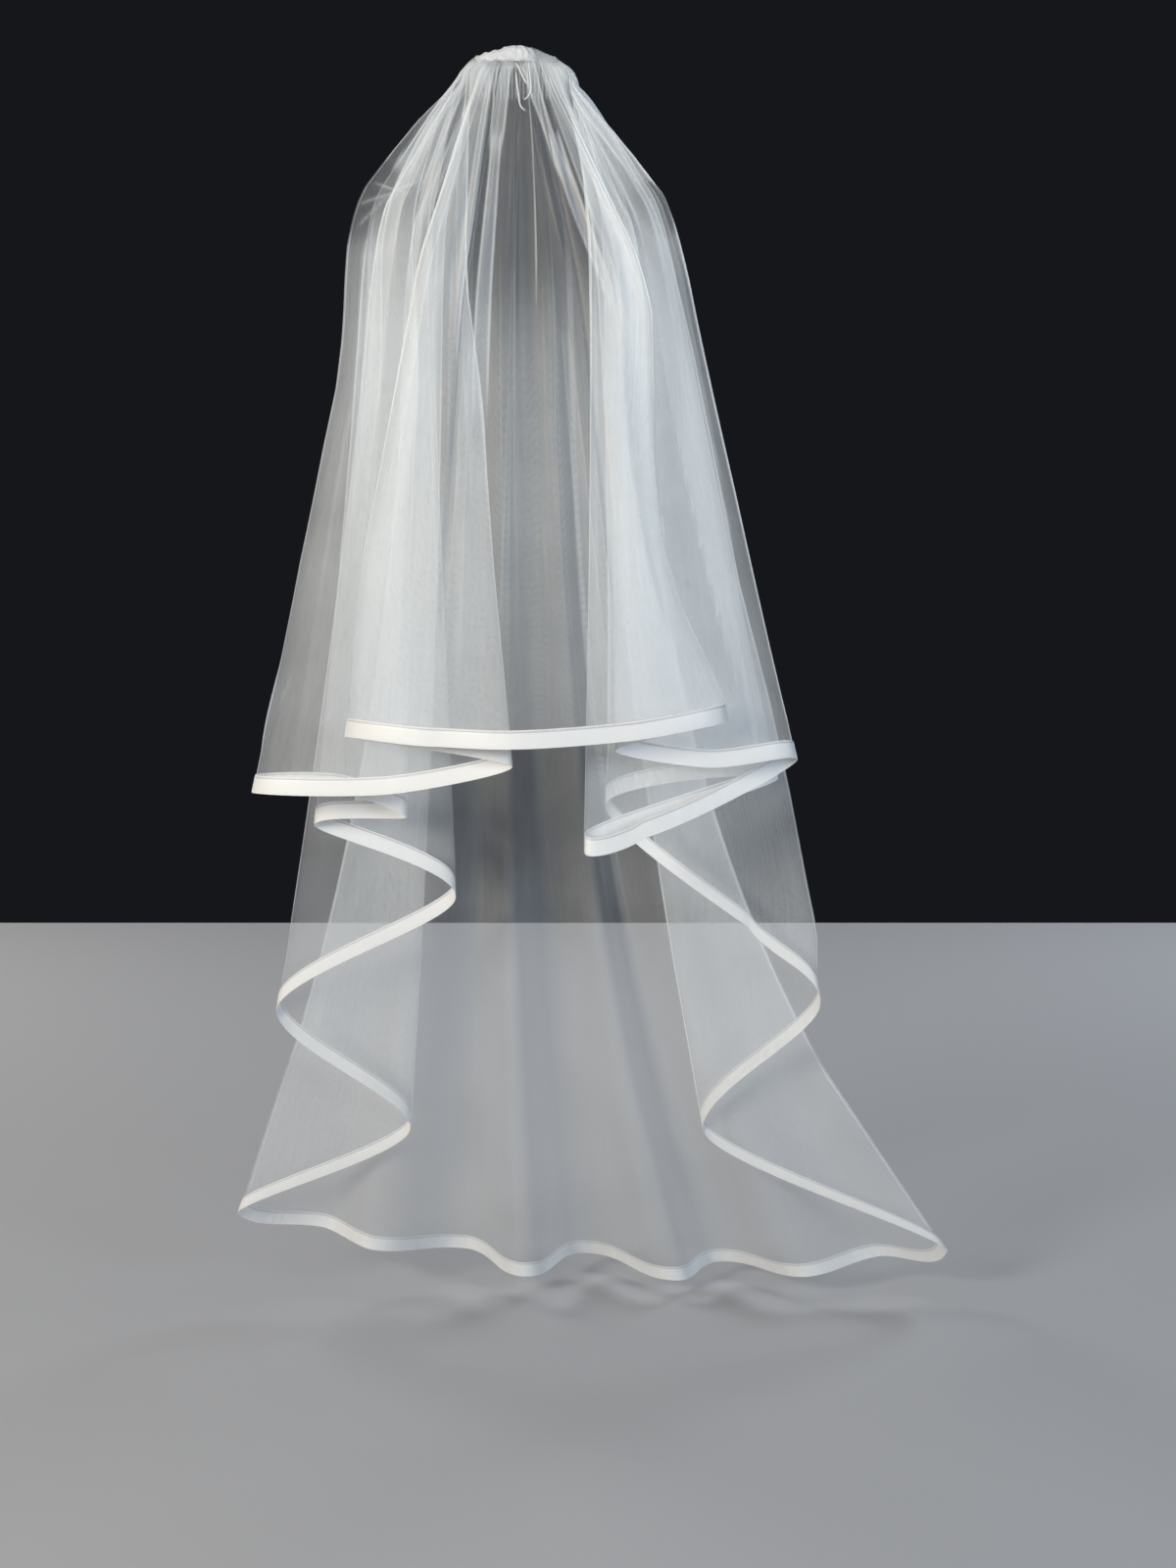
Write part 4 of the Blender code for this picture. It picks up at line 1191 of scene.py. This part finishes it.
def comb_finish():
    finish = Finish("clear_comb", Transmission_Weight=0.75, IOR=1.49, Coat_Weight=0.3)
    flow = finish.mottle(120.0, 3.0, (0.84, 0.87, 0.90, 1.0), (0.93, 0.94, 0.95, 1.0))
    finish.feed("Roughness", flow * 0.14 + 0.06)
    finish.bump(flow, 0.0004, 0.3)
    return finish.material


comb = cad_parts["comb"]
comb.data.materials.clear()
comb.data.materials.append(comb_finish())
comb_low, comb_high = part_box("comb")
print("comb", round((comb_high.x - comb_low.x) * 1000, 1), "mm wide")

# %% [markdown]
# The gathers are oversewn to the comb: thread winds round the spine in every gap between two teeth.
# One turn is a small rounded loop of thread, and Geometry Nodes set it all along the spine, each
# turned a little differently, as a hand leaves them.

# %% Thread round the spine
SPINE_END = 0.0025
WRAP_LEAN = (0.10, 0.10, 0.10)
WRAP_VALUES = {"Pitch": 0.0022, "Height": 0.0088, "Depth": 0.0033, "Corner": 0.0012, "Radius": 0.00022,
               "Lean": WRAP_LEAN, "Seed": 7}


def wrap_tree():
    row = RowTree("spine_wraps", *WRAP_VALUES, "Thread")
    given = row.given
    loop = row.node("CurvePrimitiveQuadrilateral", {"mode": "RECTANGLE"}, {
        "Width": given["Height"], "Height": given["Depth"]})
    rounded = row.node("FilletCurve", {"mode": "POLY"}, {
        "Curve": loop, "Count": 4, "Radius": given["Corner"]})
    section = row.node("CurvePrimitiveCircle", (), {"Resolution": 6, "Radius": given["Radius"]})
    tube = row.node("CurveToMesh", (), {"Curve": rounded, "Profile Curve": section})
    upright = row.function("EulerToRotation", (), {0: (0.0, math.pi / 2, 0.0)})
    lean = row.function("RandomValue", {"data_type": "FLOAT_VECTOR"}, {
        1: given["Lean"], "Seed": given["Seed"]})
    leaning = row.function("EulerToRotation", (), {0: lean})
    turned = row.function("RotateRotation", (), {0: upright, 1: leaning})
    return row.done(Instance=tube, Rotation=turned)


spine = [(comb_low.x + SPINE_END, 0.0, 0.0), (comb_high.x - SPINE_END, 0.0, 0.0)]
grown("comb_wraps", spine, wrap_tree(), WRAP_VALUES, "gather_band")

# %% [markdown]
# ## Loose twists under the head
# Where the gathers were drawn up, three narrow twists of net hang slack in front, just under the
# ruched head. Each is a thin tube swept along a few listed points that lie just off the cloth.

# %% Loose twists
TWIST_RADIUS, TWIST_STANDS_OFF, TWIST_SIDES, TWIST_FINER = 0.0010, 0.0018, 8, 8
TWISTS = {
    "twist_left": [(0.0006, -0.012), (0.0022, -0.026), (0.0039, -0.039), (0.0061, -0.05), (0.0117, -0.0557)],
    "twist_middle": [(0.0006, 0.0), (0.0035, -0.0055), (0.0061, -0.011), (0.0095, -0.018), (0.0129, -0.0243)],
    "twist_right": [(0.0151, 0.001), (0.017, -0.016), (0.0179, -0.031), (0.015, -0.0385), (0.0105, -0.0433)],
}


def twist_finish():
    finish = Finish("twisted_net", Roughness=0.6, Sheen_Weight=0.3, Sheen_Roughness=0.4)
    strands = finish.mottle(700.0, 2.0, (0.80, 0.80, 0.81, 1.0), (0.94, 0.93, 0.92, 1.0))
    finish.bump(strands, 0.0003, 0.8)
    return finish.material


def on_front(x, z):
    """The point of the front cloth at that x and z, moved a little off it."""
    behind = np.where(np.cos(ANGLE) > 0.0, 0.0, 1.0)
    away = (cloth[..., 0] - x) ** 2 + (cloth[..., 2] - z) ** 2 + behind
    place = np.unravel_index(int(np.argmin(away)), away.shape)
    return np.array([x, (cloth[place] + cloth_normals[place] * TWIST_STANDS_OFF)[1], z])


def smooth_path(points):
    """A curve through the points, with extra points between them."""
    points = np.array(points)
    tangents = np.gradient(points, axis=0)
    spans = zip(points, points[1:], tangents, tangents[1:])
    shares = np.arange(TWIST_FINER) / TWIST_FINER
    return np.concatenate([hermite(*span, shares) for span in spans] + [points[-1:]])


def tube_along(path):
    """Rings of points round a path, for a tube that is thinner at both ends."""
    along = unit(np.gradient(path, axis=0))
    thinner = 0.45 + 0.55 * np.sin(math.pi * np.linspace(0.12, 0.92, len(path)))
    side = unit(np.cross(along, (0.0, 1.0, 0.02))) * thinner[:, None]
    over = np.cross(along, side)
    turns = np.arange(TWIST_SIDES) * math.tau / TWIST_SIDES
    rings = [path + TWIST_RADIUS * (math.cos(t) * side + math.sin(t) * over) for t in turns]
    return np.stack(rings, axis=1)


TWIST = twist_finish()
for name, line in TWISTS.items():
    rings = tube_along(smooth_path([on_front(x, z) for x, z in line]))
    faces = grid_faces(*rings.shape[:2], closed_columns=True, inside_out=True)
    first_end, count = tuple(range(TWIST_SIDES)), len(rings) * TWIST_SIDES
    faces += [first_end, tuple(count - 1 - point for point in first_end)]
    new_piece(name, rings, faces, TWIST)
print(len(TWISTS), "loose twists")

# %% [markdown]
# ## Light
# A large soft light from the upper left, a cooler one from the right and a broad one overhead show
# the net's folds without hard shadows, and two from behind shine through it. White net needs
# something darker behind it, so the surroundings are a plain dark grey, and the floor is plain and
# pale. Light has to pass through as many layers of net as lie behind each other.

# %% Floor, surroundings and lights
FLOOR_HEIGHT, FLOOR_HALF = -1.62, 2.94
FLOOR_COLOUR, SURROUNDINGS = (0.43, 0.43, 0.445, 1.0), (0.008, 0.0085, 0.011, 1.0)
MOST_LAYERS = 64
AIM = Vector((0.05, 0.0, -0.7))
LIGHTS = [
    ("key", (-2.6, -3.3, 0.4), 1.4, 150, (1.0, 0.945, 0.85)),
    ("fill", (2.8, -2.9, 0.2), 1.6, 70, (0.70, 0.84, 1.0)),
    ("top", (0.1, -0.3, 2.2), 1.2, 10, (1.0, 1.0, 1.0)),
    ("back_left", (-2.6, 2.9, 0.4), 1.4, 60, (1.0, 0.98, 0.94)),
    ("back_right", (2.4, 3.2, 0.4), 1.4, 54, (0.84, 0.92, 1.0)),
]

ground = bpy.data.meshes.new("floor")
corners = [(-1, -1), (1, -1), (1, 1), (-1, 1)]
corners = [(x * FLOOR_HALF, y * FLOOR_HALF, FLOOR_HEIGHT) for x, y in corners]
ground.from_pydata(corners, [], [(0, 1, 2, 3)])
ground.materials.append(Finish("floor", Roughness=0.8, Base_Color=FLOOR_COLOUR).material)
add_object("floor", ground)

world = bpy.data.worlds.new("surroundings")
world.use_nodes = True
world.node_tree.nodes["Background"].inputs["Color"].default_value = SURROUNDINGS
world.node_tree.nodes["Background"].inputs["Strength"].default_value = 1.0
bpy.context.scene.world = world

for name, place, size, power, colour in LIGHTS:
    data = bpy.data.lights.new(name, "AREA")
    data.shape, data.size, data.energy, data.color = "DISK", size, power, colour
    light = add_object(name, data)
    light.location = place
    light.rotation_euler = (AIM - Vector(place)).to_track_quat("-Z", "Y").to_euler()
bpy.context.scene.cycles.transparent_max_bounces = MOST_LAYERS
bpy.context.scene.view_settings.view_transform = "Standard"
print(len(LIGHTS), "lights")
